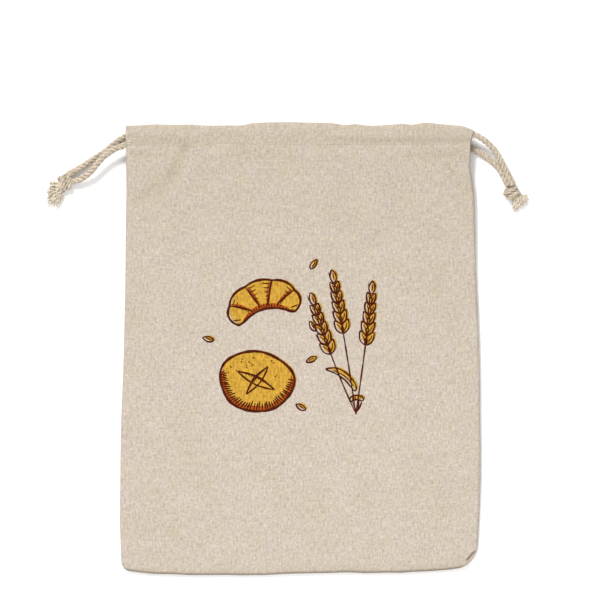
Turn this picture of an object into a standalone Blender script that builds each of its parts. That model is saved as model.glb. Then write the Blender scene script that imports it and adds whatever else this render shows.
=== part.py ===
# A linen drawstring bread bag lying flat and empty, its mouth towards +Y.
# Two panels are sewn together at the sides and the bottom. Each panel's top is turned
# down inside and sewn across, which makes a tunnel. Two twisted cords run through both
# tunnels, and each one's ends are knotted together outside its own side of the bag.
import math

import bmesh
import bpy
import numpy as np
from mathutils import Matrix, Vector

MM = 0.001

# Driving dimensions, in millimetres
CLOTH = 1.0            # one layer of linen
TOUCH = 0.3            # left between pieces that touch
LAYER = CLOTH + TOUCH  # from the middle of one layer to the middle of the next
TUNNEL_RISE = 6.6      # middle of the lower layer to middle of the upper, over the cords
TUNNEL_PINCH = 4.6     # how far from the stitch line the tunnel takes to reach its rise
HEM_LIFT = 2.4         # the front's hem comes up this much to meet the stitch line
FOLD_LENGTH = 3.6      # half the tunnel's round top, along the bag
FOLD_STEPS = 6
HEM_PAST_STITCH = 3.0
HEM_SIDE_INSET = 12.0  # the turned-in hem is narrower than the panel at each side
MOUTH_MIDDLE = 4.6     # gap between the two hems, in the middle and at the sides
MOUTH_SIDE = 3.4
MOUTH_HALF = 60.0      # the middle gap holds this far to each side,
MOUTH_NARROWS = 80.0   # and narrows to the side gap over this much more
SLIT = 20.0            # the side seams stop this far below the stitch line
SLIT_FULL = 4.0        # and the sides are fully apart this far below it
STITCH_REACH = 12.0    # the front bends over this length to meet the stitch line
MOUTH_OPEN = 9.0       # the tunnel isn't pinched this near its ends,
MOUTH_FLARE = 18.0     # and this much further in it is pinched all the way
BACK_TOP_DROP = 2.5    # the back panel lies a little lower than the front
BACK_STITCH_DROP = 7.5
ROLL = 7.0             # how far in from the seam the cloth takes to round off
ROLL_WITH_HEIGHT = 0.5
BOTTOM_ROLL = 8.0
SEAM_LIFT = 0.5        # rim of each panel above or below the seam's middle
LEFT_CORNER = 7.0
RIGHT_CORNER = 15.0
CORD = 5.0             # the free cord ends
HELD_CORD = 4.2        # the same cord, squeezed in the tunnels
CORD_STEP = 10.0       # between the points of a cord's line
RUN_STOP = 8.0         # a hidden run is straight until this far from its turn
RUN_PLACES = 16
RUN_LEAN = 0.15        # share of the two tunnels' difference taken in each corner
LOBE_SIDES = 14
LOBE_RINGS = 8

# Down the bag: height up the bag, the two side edges, the front's height in the
# middle and near the sides, and the side seam's height. Lowest row is the bottom edge.
DOWN = {
    "up": (-188.2, -155, -120, -60, -20, 20, 60, 100, 130, 150, 169.4, 188.2),
    "left": (-148.6, -149.6, -149.5, -148.9, -147.4, -146.4, -145.6, -145.2,
             -144.6, -144.6, -144.6, -144.6),
    "right": (146.0, 148.2, 149.5, 149.5, 149.5, 148.6, 146.8, 145.2,
              143.8, 143.3, 142.8, 142.8),
    "middle": (5.8, 6.9, 7.6, 8.1, 8.3, 8.5, 9.1, 10.7, 12.9, 15.0, 16.4, 16.4),
    "side": (5.6, 6.2, 6.6, 7.0, 7.2, 7.4, 8.0, 9.5, 11.6, 13.7, 15.2, 15.2),
    "seam": (3.0, 3.3, 3.5, 3.6, 3.7, 3.8, 4.1, 5.0, 6.6, 8.4, 9.5, 9.5),
}
# Across the bag: the top edge, the tunnel's stitch line and the bottom edge.
ACROSS = {
    "x": (-150, -126, -94, -70, -45, -20, 8, 30, 55, 84, 110, 124, 136, 150),
    "top": (185.6, 186.0, 185.4, 185.7, 186.0, 188.2, 188.5, 187.2, 185.7, 187.2,
            187.2, 186.2, 185.0, 181.0),
    "stitch": (169.4, 169.2, 167.4, 170.8, 170.0, 169.6, 169.2, 169.8, 170.0,
               170.8, 171.0, 171.2, 171.4, 171.6),
    "bottom": (-185.2, -187.2, -188.2, -188.2, -188.0, -187.6, -187.2, -186.8,
               -186.4, -186.0, -185.4, -184.0, -182.4, -178.6),
}
# Gathers that cross the front tunnel: where, how wide and how deep.
PUCKERS = {
    "x": (-94.0, -41.0, 6.0, 55.0),
    "width": (3.2, 2.6, 2.6, 3.0),
    "depth": (0.9, 0.6, 0.8, 0.7),
}
# Soft creases in the front below the tunnel: both ends, width and depth.
CREASES = {
    "from": ((-95, 166), (-106, 143), (-137, 160), (92, 160), (136, -186)),
    "to": ((-106, 143), (-134, 124), (-112, 161), (130, 161), (149, -171)),
    "width": (5.0, 6.0, 3.0, 3.0, 3.5),
    "depth": (0.9, 0.7, 0.5, 0.6, 0.8),
}
# Where the faceted cloth has its points: in from each side, up from the bottom edge,
# down from the stitch line, and across the tunnel.
EDGE_STEPS = (0.0, 0.6, 2.2, 5.0, 9.0, 14.0)
STATION_STEP = 19.0
PUCKER_STATION = 4.5
PUCKER_CLEAR = 6.0
BODY_STEP = 26.0
BOTTOM_ROWS = (0.0, 0.5, 1.8, 4.2, 8.0, 15.0)
UPPER_ROWS = (32.0, 21.0, 14.5, 9.0, 4.5, 1.5)
TUNNEL_ROWS = (0.0, 1.2, 2.4, 3.6, TUNNEL_PINCH, 9.0)
HEM_ROWS = (9.0, TUNNEL_PINCH, 3.6, 2.2, 0.6, -HEM_PAST_STITCH)

# Routes of the cords' free ends, from inside the tunnels to the knots.
ROUTES = {
    "cord_left_front": (
        (-125, 176.0, 14.95), (-133, 175.3, 14.8), (-139, 173.2, 14.8),
        (-146.5, 168.9, 14.5), (-154.8, 165.7, 14.1), (-162.1, 161.0, 13.4),
        (-168.0, 154.6, 12.2), (-174.7, 146.8, 10.0), (-183.5, 140.8, 7.0),
        (-192.4, 139.0, 5.3)),
    "cord_left_back": (
        (-125, 177.6, 3.8), (-135, 177.6, 3.8), (-141, 177.3, 3.8),
        (-146.5, 176.2, 3.9), (-153.8, 171.6, 3.4), (-163.4, 163.8, 2.9),
        (-174.2, 156.8, 2.8), (-184.9, 149.9, 3.3), (-194.6, 144.7, 4.9)),
    "cord_right_front": (
        (125, 181.2, 14.95), (133, 181.0, 14.8), (139, 180.2, 14.8),
        (145.4, 178.2, 14.6), (151.6, 175.0, 13.9), (157.8, 170.3, 12.5),
        (163.2, 164.6, 11.1), (167.8, 157.2, 9.7), (172.0, 149.0, 8.9),
        (175.6, 141.6, 9.0), (178.3, 135.9, 9.3)),
    "cord_right_back": (
        (125, 170.5, 3.8), (133, 170.3, 3.8), (139, 169.0, 3.8),
        (145.4, 166.3, 3.9), (152.2, 162.5, 3.7), (159.0, 157.8, 3.4),
        (165.0, 152.6, 3.4), (169.0, 147.0, 3.7), (172.2, 140.6, 4.3),
        (174.8, 135.8, 4.9)),
}
# Each cord's hidden run: the tunnels' places for it, and its turn round the far side.
RUNS = {
    "drawcord_left": {"side": -1, "front_up": 176.4, "turn_up": 175.4,
                      "back_up": 177.6, "turn": 139.2, "start": 124.5},
    "drawcord_right": {"side": 1, "front_up": 181.2, "turn_up": 181.2,
                       "back_up": 170.5, "turn": 140.6, "start": 124.5},
}
# The corner of that turn: how far short of it, and how far off the run's height.
CORNER = {
    "short": (3.4, 0.6),
    "off": (0.9, 3.4),
}
# Knots and their frayed tails: lobes with centre, half-lengths and turn in degrees.
KNOTS = {
    "knot_left": (
        ((-197.0, 138.0, 4.9), (8.2, 4.4, 4.7), -78),
        ((-203.6, 134.6, 4.0), (6.2, 3.2, 3.2), 135),
        ((-206.0, 127.4, 4.0), (10.2, 4.8, 3.6), -102),
        ((-202.0, 123.6, 3.8), (6.6, 3.0, 3.2), -82)),
    "knot_right": (
        ((178.4, 129.2, 6.3), (7.2, 5.8, 6.1), -24),
        ((186.0, 127.4, 3.9), (5.6, 3.2, 3.3), 18),
        ((186.2, 121.8, 3.8), (5.6, 3.4, 3.2), -48),
        ((182.0, 120.4, 3.8), (6.4, 3.4, 3.2), -96)),
}
LINEN = (0.62, 0.53, 0.42)
COTTON = (0.68, 0.60, 0.46)


def smooth(table, key, at, column):
    """A column of a table, read at any place on a smooth curve through its rows."""
    xs = np.asarray(table[key], float)
    ys = np.asarray(table[column], float)
    at = float(np.clip(at, xs[0], xs[-1]))
    i = int(np.clip(np.searchsorted(xs, at) - 1, 0, len(xs) - 2))
    slope = np.gradient(ys, xs)
    step = xs[i + 1] - xs[i]
    t = (at - xs[i]) / step
    a = (1 + 2 * t) * (1 - t) ** 2 * ys[i] + t * (1 - t) ** 2 * step * slope[i]
    b = t * t * (3 - 2 * t) * ys[i + 1] + t * t * (t - 1) * step * slope[i + 1]
    return a + b


def ease(value):
    value = min(max(value, 0.0), 1.0)
    return value * value * (3 - 2 * value)


def roll(distance, width):
    """How far the cloth has rounded off from its seam, 0 at the seam to 1."""
    t = min(max(distance / width, 0.0), 1.0)
    return math.sqrt(1 - (1 - t) ** 2)


def corner_inset(above, radius):
    if above >= radius:
        return 0.0
    return radius - math.sqrt(radius ** 2 - (radius - above) ** 2)


def crease_depth(x, y):
    depth = 0.0
    for i, start in enumerate(CREASES["from"]):
        a = Vector(start)
        run = Vector(CREASES["to"][i]) - a
        t = min(max((Vector((x, y)) - a).dot(run) / run.length_squared, 0.0), 1.0)
        off = (Vector((x, y)) - a - run * t).length / CREASES["width"][i]
        depth += CREASES["depth"][i] * math.exp(-off * off)
    return depth


def pucker_depth(x):
    parts = zip(PUCKERS["x"], PUCKERS["width"], PUCKERS["depth"])
    return sum(d * math.exp(-((x - at) / w) ** 2) for at, w, d in parts)


def hem_height(x):
    """Middle of the front panel's hem, above both of the back panel's layers."""
    share = ease(1 - (abs(x) - MOUTH_HALF) / MOUTH_NARROWS)
    mouth = MOUTH_SIDE + (MOUTH_MIDDLE - MOUTH_SIDE) * share
    return CLOTH / 2 + TUNNEL_RISE + CLOTH + mouth


class Panel:
    def __init__(self, front):
        self.front = front
        self.top_drop = 0.0 if front else BACK_TOP_DROP
        self.stitch_drop = 0.0 if front else BACK_STITCH_DROP

    def stations(self):
        """Places across the bag, closer together at the edges and the puckers."""
        half = DOWN["right"][2]
        inner = half - EDGE_STEPS[-1]
        count = round(2 * inner / STATION_STEP)
        places = [inner * (2 * i / count - 1) for i in range(count + 1)]
        if self.front:
            around = (-PUCKER_STATION, 0.0, PUCKER_STATION)
            extra = [x + o for x in PUCKERS["x"] for o in around]
            clear = [p for p in places if min(abs(p - e) for e in extra) > PUCKER_CLEAR]
            places = clear + extra
        edges = [half - s for s in EDGE_STEPS[:-1]]
        return [p / half for p in sorted(places + edges + [-e for e in edges])]

    def width_at(self, up):
        above = up - DOWN["up"][0]
        left = smooth(DOWN, "up", up, "left") + corner_inset(above, LEFT_CORNER)
        right = smooth(DOWN, "up", up, "right") - corner_inset(above, RIGHT_CORNER)
        return left, right

    def across(self, share, up, inset=0.0):
        left, right = self.width_at(up)
        left, right = left + inset, right - inset
        return left + (right - left) * (share + 1) / 2

    def place_up(self, x, up):
        """Nominal height up the bag to the real one, with its uneven edges."""
        low, line, high = DOWN["up"][0], DOWN["up"][-2], DOWN["up"][-1]
        bottom = smooth(ACROSS, "x", x, "bottom")
        stitch = smooth(ACROSS, "x", x, "stitch") - self.stitch_drop
        top = smooth(ACROSS, "x", x, "top") - self.top_drop
        return float(np.interp(up, (low, line, high), (bottom, stitch, top)))

    def slit(self, up):
        """0 where the sides are sewn, 1 at the tunnel, whose ends are open."""
        line = DOWN["up"][-2]
        return ease((up - (line - SLIT)) / (SLIT - SLIT_FULL))

    def body_point(self, share, up):
        x = self.across(share, up)
        left, right = self.width_at(up)
        y = self.place_up(x, up)
        seam = smooth(DOWN, "up", y, "seam")
        width = ROLL + ROLL_WITH_HEIGHT * seam
        sides = roll(min(x - left, right - x), width)
        sides += (1 - sides) * self.slit(y)
        full = sides * roll(up - DOWN["up"][0], BOTTOM_ROLL)
        if self.front:
            middle = smooth(DOWN, "up", up, "middle")
            side = smooth(DOWN, "up", up, "side")
            flat = side + (middle - side) * (1 - abs(share) ** 3)
            low = seam + SEAM_LIFT
            z = low + (flat - crease_depth(x, y) - low) * full
            _, at_stitch = self.layers(x, 0.0)
            below = DOWN["up"][-2] - up
            z += (at_stitch - z) * ease(1 - below / STITCH_REACH)
        else:
            high = seam - SEAM_LIFT
            z = CLOTH / 2 + (high - CLOTH / 2) * (1 - full)
        return x, y, z

    def layers(self, x, above):
        """Heights of the tunnel's two layers, which meet at the stitch line."""
        left, right = self.width_at(DOWN["up"][-2])
        open_end = 1 - ease((min(x - left, right - x) - MOUTH_OPEN) / MOUTH_FLARE)
        share = max(ease(above / TUNNEL_PINCH), open_end)
        dent = pucker_depth(x) if self.front else 0.0
        base = hem_height(x) if self.front else CLOTH / 2
        lower = base + (HEM_LIFT * (1 - share) if self.front else 0.0)
        return lower, lower + LAYER + (TUNNEL_RISE - LAYER - dent) * share

    def stitch_line(self, x):
        return smooth(ACROSS, "x", x, "stitch") - self.stitch_drop

    def tunnel_point(self, above, inset, upper, share):
        x = self.across(share, DOWN["up"][-1], inset)
        return x, self.stitch_line(x) + above, self.layers(x, above)[upper]

    def fold(self, share):
        """The round top, from the upper layer to the lower one."""
        for i in range(FOLD_STEPS + 1):
            angle = math.pi * (0.5 - i / FOLD_STEPS)
            turned = i / FOLD_STEPS if self.front else 1 - i / FOLD_STEPS
            x = self.across(share, DOWN["up"][-1], HEM_SIDE_INSET * turned)
            top = smooth(ACROSS, "x", x, "top") - self.top_drop - CLOTH / 2
            lower, upper = self.layers(x, TUNNEL_PINCH)
            yield (x, top - FOLD_LENGTH * (1 - math.cos(angle)),
                   (lower + upper) / 2 + (upper - lower) / 2 * math.sin(angle))

    def body_rows(self):
        low, line = DOWN["up"][0], DOWN["up"][-2]
        near = [low + d for d in BOTTOM_ROWS]
        far = [line - d for d in UPPER_ROWS]
        span = far[0] - near[-1]
        count = round(span / BODY_STEP)
        between = [near[-1] + span * i / count for i in range(1, count)]
        return near + between + far

    def section(self, share):
        """The panel's cloth from its bottom edge, over the tunnel, to the hem's end."""
        points = [self.body_point(share, up) for up in self.body_rows()]
        fold = list(self.fold(share))
        if self.front:
            first = [self.tunnel_point(a, 0.0, 1, share) for a in TUNNEL_ROWS]
            last = [self.tunnel_point(a, HEM_SIDE_INSET, 0, share) for a in HEM_ROWS]
            return points + first + fold + last
        first = [self.tunnel_point(a, 0.0, 0, share) for a in (0.0, TUNNEL_ROWS[-1])]
        rows = TUNNEL_ROWS[::-1] + (-HEM_PAST_STITCH,)
        last = [self.tunnel_point(a, HEM_SIDE_INSET, 1, share) for a in rows]
        return points + first + fold[::-1] + last

    def grid(self):
        return [self.section(share) for share in self.stations()]


def material(name, colour, roughness):
    made = bpy.data.materials.new(name)
    made.use_nodes = True
    shader = made.node_tree.nodes["Principled BSDF"]
    shader.inputs["Base Color"].default_value = (*colour, 1.0)
    shader.inputs["Roughness"].default_value = roughness
    shader.inputs["Metallic"].default_value = 0.0
    return made


def add_object(name, data, finish):
    made = bpy.data.objects.new(name, data)
    made.data.materials.append(finish)
    bpy.context.scene.collection.objects.link(made)
    return made


def build_panel(name, front, finish):
    grid = Panel(front).grid()
    bm = bmesh.new()
    rows = [[bm.verts.new(Vector(p) * MM) for p in line] for line in grid]
    for a, b in zip(rows, rows[1:]):
        for i in range(len(a) - 1):
            bm.faces.new((a[i], b[i], b[i + 1], a[i + 1]))
    mesh = bpy.data.meshes.new(name)
    bm.to_mesh(mesh)
    bm.free()
    mesh.shade_smooth()
    panel = add_object(name, mesh, finish)
    cloth = panel.modifiers.new("cloth", "SOLIDIFY")
    cloth.thickness = CLOTH * MM
    cloth.offset = 0.0
    return panel


def line_through(points, step):
    """Points on a smooth curve through the route, about one step apart."""
    pts = [Vector(p) for p in points]
    pts = [2 * pts[0] - pts[1]] + pts + [2 * pts[-1] - pts[-2]]
    line = [pts[1]]
    for a, b, c, d in zip(pts, pts[1:], pts[2:], pts[3:]):
        parts = max(1, round((c - b).length / step))
        for i in range(1, parts + 1):
            t = i / parts
            line.append(0.5 * (2 * b + (c - a) * t + (2 * a - 5 * b + 4 * c - d) * t ** 2
                               + (3 * b - a - 3 * c + d) * t ** 3))
    return line


def build_cord(name, points, diameter, finish):
    curve = bpy.data.curves.new(name, "CURVE")
    curve.dimensions = "3D"
    curve.resolution_u = 1
    curve.render_resolution_u = 0
    curve.bevel_depth = diameter / 2 * MM
    curve.bevel_resolution = 2
    curve.use_fill_caps = True
    spline = curve.splines.new("POLY")
    spline.points.add(len(points) - 1)
    for target, point in zip(spline.points, points):
        target.co = (*(Vector(point) * MM), 1.0)
    return add_object(name, curve, finish)


def hidden_run(side, front_up, turn_up, back_up, turn, start):
    """From the cord's own side through the front tunnel, round the far side and back."""
    rest = CLOTH / 2 + TOUCH + HELD_CORD / 2
    places = np.linspace(start, RUN_STOP - turn, RUN_PLACES)
    front = [(side * p, front_up, hem_height(p) + rest) for p in places]
    front[-1] = (front[-1][0], turn_up, front[-1][2])
    high, low = front[-1][2], CLOTH / 2 + rest
    lean = (back_up - turn_up) * RUN_LEAN
    corner = list(zip(CORNER["short"], CORNER["off"], (0.0, lean)))
    down = [(-side * (turn - s), turn_up + l, high - o) for s, o, l in corner]
    round_end = (-side * turn, (turn_up + back_up) / 2, (high + low) / 2)
    out = [(-side * (turn - s), back_up - l, low + o) for s, o, l in corner[::-1]]
    back = [(side * p, back_up, low) for p in places[::-1]]
    return front + down + [round_end] + out + back


def build_knot(name, lobes, finish):
    """A knot and its tails, as rounded lobes joined into one body."""
    whole = None
    for centre, halves, turn in lobes:
        bm = bmesh.new()
        bmesh.ops.create_uvsphere(bm, u_segments=LOBE_SIDES, v_segments=LOBE_RINGS,
                                  radius=1.0)
        bm.transform(Matrix.LocRotScale(
            Vector(centre) * MM,
            Matrix.Rotation(math.radians(turn), 3, "Z").to_quaternion(),
            Vector(halves) * MM))
        mesh = bpy.data.meshes.new(name)
        bm.to_mesh(mesh)
        bm.free()
        if whole is None:
            whole = add_object(name, mesh, finish)
            continue
        lobe = add_object(name + "_lobe", mesh, finish)
        lobe.hide_render = True
        lobe.display_type = "WIRE"
        join = whole.modifiers.new("lobe", "BOOLEAN")
        join.operation = "UNION"
        join.object = lobe
    whole.data.shade_smooth()
    return whole


def main():
    for old in list(bpy.data.objects):
        bpy.data.objects.remove(old)
    linen = material("unbleached linen", LINEN, 0.9)
    cotton = material("twisted cotton cord", COTTON, 0.85)
    build_panel("front_panel", True, linen)
    build_panel("back_panel", False, linen)
    for name, route in ROUTES.items():
        build_cord(name, line_through(route, CORD_STEP), CORD, cotton)
    for name, places in RUNS.items():
        run = line_through(hidden_run(**places), CORD_STEP)
        build_cord(name, run, HELD_CORD, cotton)
    for name, lobes in KNOTS.items():
        build_knot(name, lobes, cotton)


main()
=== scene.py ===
import math
import random

import bmesh
import bpy
import numpy as np
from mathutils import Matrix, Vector, noise
from mathutils.bvhtree import BVHTree
from mathutils.geometry import delaunay_2d_cdt


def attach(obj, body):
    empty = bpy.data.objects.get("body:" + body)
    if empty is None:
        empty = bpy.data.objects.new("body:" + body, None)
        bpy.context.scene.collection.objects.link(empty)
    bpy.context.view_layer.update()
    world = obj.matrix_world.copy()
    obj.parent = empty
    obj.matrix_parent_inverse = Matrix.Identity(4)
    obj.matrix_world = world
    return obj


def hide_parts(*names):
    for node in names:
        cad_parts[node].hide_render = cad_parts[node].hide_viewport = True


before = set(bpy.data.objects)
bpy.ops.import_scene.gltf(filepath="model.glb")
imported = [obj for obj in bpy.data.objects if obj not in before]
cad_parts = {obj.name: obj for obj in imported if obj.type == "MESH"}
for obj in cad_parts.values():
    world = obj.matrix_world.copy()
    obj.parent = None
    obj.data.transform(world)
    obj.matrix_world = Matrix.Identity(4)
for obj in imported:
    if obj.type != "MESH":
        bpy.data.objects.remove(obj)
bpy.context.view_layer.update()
mm = 0.001
print("frame loaded:", len(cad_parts), "nodes")


cameraSpec = {
    "centre": (0.4, 39.9, 10.0),  # the middle of the view, half way up the bag
    "viewWidth": 501.4,
    "lens": 200.0,
    "sensor": 36.0,
    "clipEnd": 20.0,  # metres
}
lightSpec = {
    # each lamp's direction from the bag's middle, in degrees, its distance and width in metres,
    # and how bright it makes white paper there
    "lamps": (
        {"name": "window softbox", "azimuth": 117.0, "elevation": 51.0, "distance": 4.5,
         "width": 0.95, "brightness": 0.72},
        {"name": "overhead softbox", "azimuth": -80.0, "elevation": 66.0, "distance": 0.78,
         "width": 0.6, "brightness": 0.45},
    ),
    "lampColour": "#fffdf9",
    "skyColour": "#fdfdff",
    "skyStrength": 0.65,
    "floorColour": "#f6f6f6",
    "floorSize": 6000.0,
}


def hexColour(code):
    # sRGB hex to linear
    parts = [int(code[i:i + 2], 16) / 255 for i in (1, 3, 5)]
    return tuple(p / 12.92 if p <= 0.04045 else ((p + 0.055) / 1.055) ** 2.4 for p in parts) + (1.0,)


def addNode(tree, kind, inputs=(), **settings):
    # each input gets a value, or the node or socket that feeds it
    node = tree.nodes.new(kind)
    for name, value in settings.items():
        setattr(node, name, value)
    for key, value in dict(inputs).items():
        if isinstance(value, bpy.types.Node):
            value = value.outputs[0]
        if isinstance(value, bpy.types.NodeSocket):
            tree.links.new(value, node.inputs[key])
        else:
            node.inputs[key].default_value = value
    return node


def newObject(name, data):
    made = bpy.data.objects.new(name, data)
    bpy.context.scene.collection.objects.link(made)
    return made


def addCamera():
    data = bpy.data.cameras.new("camera")
    data.lens = cameraSpec["lens"]
    data.sensor_width = cameraSpec["sensor"]
    data.clip_end = cameraSpec["clipEnd"]
    camera = newObject("camera", data)
    away = cameraSpec["viewWidth"] * cameraSpec["lens"] / cameraSpec["sensor"]
    x, y, z = cameraSpec["centre"]
    camera.location = Vector((x, y, z + away)) * mm
    bpy.context.scene.camera = camera


def addLamp(name, azimuth, elevation, distance, width, brightness):
    around, up = math.radians(azimuth), math.radians(elevation)
    data = bpy.data.lights.new(name, "AREA")
    data.shape = "DISK"
    data.size = width
    data.energy = brightness * math.pi ** 2 * distance ** 2 / math.sin(up)
    data.color = hexColour(lightSpec["lampColour"])[:3]
    lamp = newObject(name, data)
    toward = Vector((math.cos(around) * math.cos(up), math.sin(around) * math.cos(up), math.sin(up)))
    lamp.rotation_mode = "QUATERNION"
    lamp.rotation_quaternion = toward.to_track_quat("Z", "Y")
    lamp.location = toward * distance


def addStudio():
    for lamp in lightSpec["lamps"]:
        addLamp(**lamp)
    world = bpy.data.worlds.new("studio")
    world.use_nodes = True
    sky = world.node_tree.nodes["Background"]
    sky.inputs["Color"].default_value = hexColour(lightSpec["skyColour"])
    sky.inputs["Strength"].default_value = lightSpec["skyStrength"]
    bpy.context.scene.world = world
    bpy.context.scene.view_settings.view_transform = "Standard"


addCamera()
addStudio()


def smoothStep(value):
    value = np.clip(value, 0.0, 1.0)
    return value * value * (3 - 2 * value)


def rounded(distance, width):
    # 0 at the edge to 1, as a quarter of an ellipse
    t = np.clip(distance / width, 0.0, 1.0)
    return np.sqrt(1 - (1 - t) ** 2)


def readTable(table, column, at):
    # a smooth curve through a table's column, set out along its first one
    xs, ys = (np.asarray(table[key], float) for key in (next(iter(table)), column))
    at = np.clip(at, xs[0], xs[-1])
    i = np.clip(np.searchsorted(xs, at) - 1, 0, len(xs) - 2)
    slope = np.gradient(ys, xs)
    step = xs[i + 1] - xs[i]
    t = (at - xs[i]) / step
    start = (1 + 2 * t) * (1 - t) ** 2 * ys[i] + t * (1 - t) ** 2 * step * slope[i]
    return start + t * t * (3 - 2 * t) * ys[i + 1] + t * t * (t - 1) * step * slope[i + 1]


def travelled(line):
    # the line's length up to each of its points
    return np.concatenate([[0], np.cumsum(np.linalg.norm(np.diff(line, axis=0), axis=1))])


def evenly(line, step):
    gone = travelled(line)
    at = np.linspace(0, gone[-1], max(2, round(gone[-1] / step) + 1))
    return np.stack([np.interp(at, gone, column) for column in line.T], axis=1)


def smoothLine(points, step, closed=False):
    # a Catmull-Rom curve through the points, with its own points evenly spaced
    pts = [np.asarray(p, float) for p in points]
    if closed:
        pts = [pts[-1]] + pts + pts[:2]
    else:
        pts = [2 * pts[0] - pts[1]] + pts + [2 * pts[-1] - pts[-2]]
    dense = [pts[1]]
    for a, b, c, d in zip(pts, pts[1:], pts[2:], pts[3:]):
        for i in range(1, 25):
            t = i / 24
            dense.append(0.5 * (2 * b + (c - a) * t + (2 * a - 5 * b + 4 * c - d) * t ** 2
                                + (3 * b - a - 3 * c + d) * t ** 3))
    return evenly(np.array(dense), step)


def addPiece(name, verts, faces, finish, uv=None, smooth=True):
    # verts in millimetres, uv one pair for each vertex
    mesh = bpy.data.meshes.new(name)
    mesh.from_pydata((np.asarray(verts) * mm).tolist(), [], faces)
    mesh.validate()
    if uv is not None:
        layer = mesh.uv_layers.new(name="cut")
        corner = np.zeros(len(mesh.loops), np.int32)
        mesh.loops.foreach_get("vertex_index", corner)
        layer.data.foreach_set("uv", (np.asarray(uv, np.float32) * mm)[corner].ravel())
    if smooth:
        mesh.shade_smooth()
    mesh.materials.append(finish)
    return newObject(name, mesh)


linenSpec = {
    "dark": "#776b60",
    "pale": "#d3c8be",
    "yellow": "#cfc5b0",
    # the bark flecks' colour, which the painted shade also darkens towards
    "fleckAndShade": "#695b49",
    "thread": 0.95,  # spacing of the threads: twice the real one, which is too fine to show
    "wander": 2.6,  # how far the threads stray from straight lines
    "crossing": 0.35,  # how softly one thread gives way to the other
    # each noise's scale, in patches for each millimetre
    "wanderScale": 0.16,
    "streakAcross": 0.68,
    "streakAlong": 0.18,
    "speckleScale": 0.52,
    "cloudScale": 0.045,
    "hueScale": 0.07,
    "fleckScale": (0.62, 0.34, 1.0),
    "upright": 1.4,  # the upright threads' share of the streaks, where 1 is even
    # what each pattern adds to the tone, and the tone that is half way from dark to pale
    "speckles": 0.62,
    "streaks": 0.45,
    "crowns": 0.04,
    "clouds": 0.16,
    "level": 0.94,
    "soft": 0.765,  # the larger, the less its light and dark threads differ
    "yellows": {"From Min": 0.35, "From Max": 0.77},
    "flecks": {"From Min": 0.70, "From Max": 0.79, "To Max": 0.6},
    "wear_and_painted_shade": 0.42,  # how far the wear_and_painted_shade attribute yellows the cloth: painted shade in the folds, creases and along the bottom, and a yellower top
    "rim": 0.62,  # and how far the rim attribute darkens it, as painted shade
    "slubs": 0.5,  # how far thick stretches stand out, for each thread's own height
    "relief": 0.2,
    "bump": 0.11,
    "shader": {"Roughness": 0.92, "IOR": 1.45, "Specular IOR Level": 0.25, "Sheen Weight": 0.12,
               "Sheen Roughness": 0.6},
}
ropeSpec = {
    "dark": "#978872",
    "pale": "#d3c7b6",
    "yarn": 0.75,
    "lean": (0.62, 1.35, 0.0),  # the yarns' slant round a strand
    "fuzzScale": 900.0,  # patches for each metre
    "patchScale": 430.0,
    # what the yarns and the patches add to the fuzz, and the tones that come out dark and pale
    "yarnTone": 0.10,
    "patchTone": 0.6,
    "tones": {"From Min": 0.59, "From Max": 1.01},
    "yarnHeight": 0.5,
    "relief": 0.5,
    "bump": 0.18,
    "ownCoordinates": True,
    "shader": {"Roughness": 0.9, "Specular IOR Level": 0.2, "Sheen Weight": 0.25,
               "Sheen Roughness": 0.5},
}
inkSpec = {
    "brown": "#421405",
    "crust": "#8f4413",
    "gold": "#aa8330",
    "linen": "#c0b4a6",
    "grainScale": 0.9,  # patches for each millimetre
    "rubbing": -0.22,  # what a thread's crown takes off the ink
    "bare": {"From Min": 0.20, "From Max": 0.02, "To Max": 0.5},
    "shades": {"From Min": 0.7, "From Max": 1.3, "To Min": 0.74, "To Max": 1.26},
    "relief": 0.5,
    "shader": {"Roughness": 0.85, "Specular IOR Level": 0.04},
}
floorSpec = {"Base Color": hexColour(lightSpec["floorColour"]), "Roughness": 1.0,
             "Specular IOR Level": 0.0}


def newMaterial(name, sockets):
    made = bpy.data.materials.new(name)
    made.use_nodes = True
    for label, value in sockets.items():
        made.node_tree.nodes["Principled BSDF"].inputs[label].default_value = value
    return made


def dressMaterial(made, colour, height, strength, distance):
    # lead the pattern's colour and relief to the shader
    tree = made.node_tree
    shader = tree.nodes["Principled BSDF"]
    bump = addNode(tree, "ShaderNodeBump",
                   {"Strength": strength, "Distance": distance * mm, "Height": height})
    tree.links.new(colour.outputs[2], shader.inputs["Base Color"])
    tree.links.new(bump.outputs[0], shader.inputs["Normal"])
    return made


def clothCoordinates(tree):
    # the cut's own flat millimetres, so the weave follows the cloth round its folds
    uv = addNode(tree, "ShaderNodeUVMap", uv_map="cut")
    return addNode(tree, "ShaderNodeVectorMath", {0: uv, "Scale": 1 / mm}, operation="SCALE")


def weave(tree, flat):
    # plain weave: each thread's crown, with the upper one alternating
    stray = addNode(tree, "ShaderNodeTexNoise",
                    {"Scale": linenSpec["wanderScale"], "Detail": 2.0, "Vector": flat})
    far = linenSpec["wander"]
    shift = addNode(tree, "ShaderNodeVectorMath",
                    {0: stray.outputs["Color"], 1: (far, far, 0.0), 2: flat}, operation="MULTIPLY_ADD")
    turned = addNode(tree, "ShaderNodeVectorMath",
                     {0: shift, "Scale": math.pi / linenSpec["thread"]}, operation="SCALE")
    parts = addNode(tree, "ShaderNodeSeparateXYZ", {0: turned})
    warp, weft = (addNode(tree, "ShaderNodeMath", {0: parts.outputs[way]}, operation="SINE")
                  for way in "XY")
    over = addNode(tree, "ShaderNodeMath", {0: warp, 1: weft}, operation="MULTIPLY")
    soft = linenSpec["crossing"]
    side = addNode(tree, "ShaderNodeMapRange", {"Value": over, "From Min": -soft, "From Max": soft})
    warpCrown, weftCrown = (addNode(tree, "ShaderNodeMath", {0: wave}, operation="ABSOLUTE")
                            for wave in (warp, weft))
    return addNode(tree, "ShaderNodeMix", {0: side, 2: weftCrown, 3: warpCrown}, data_type="FLOAT")


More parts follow.
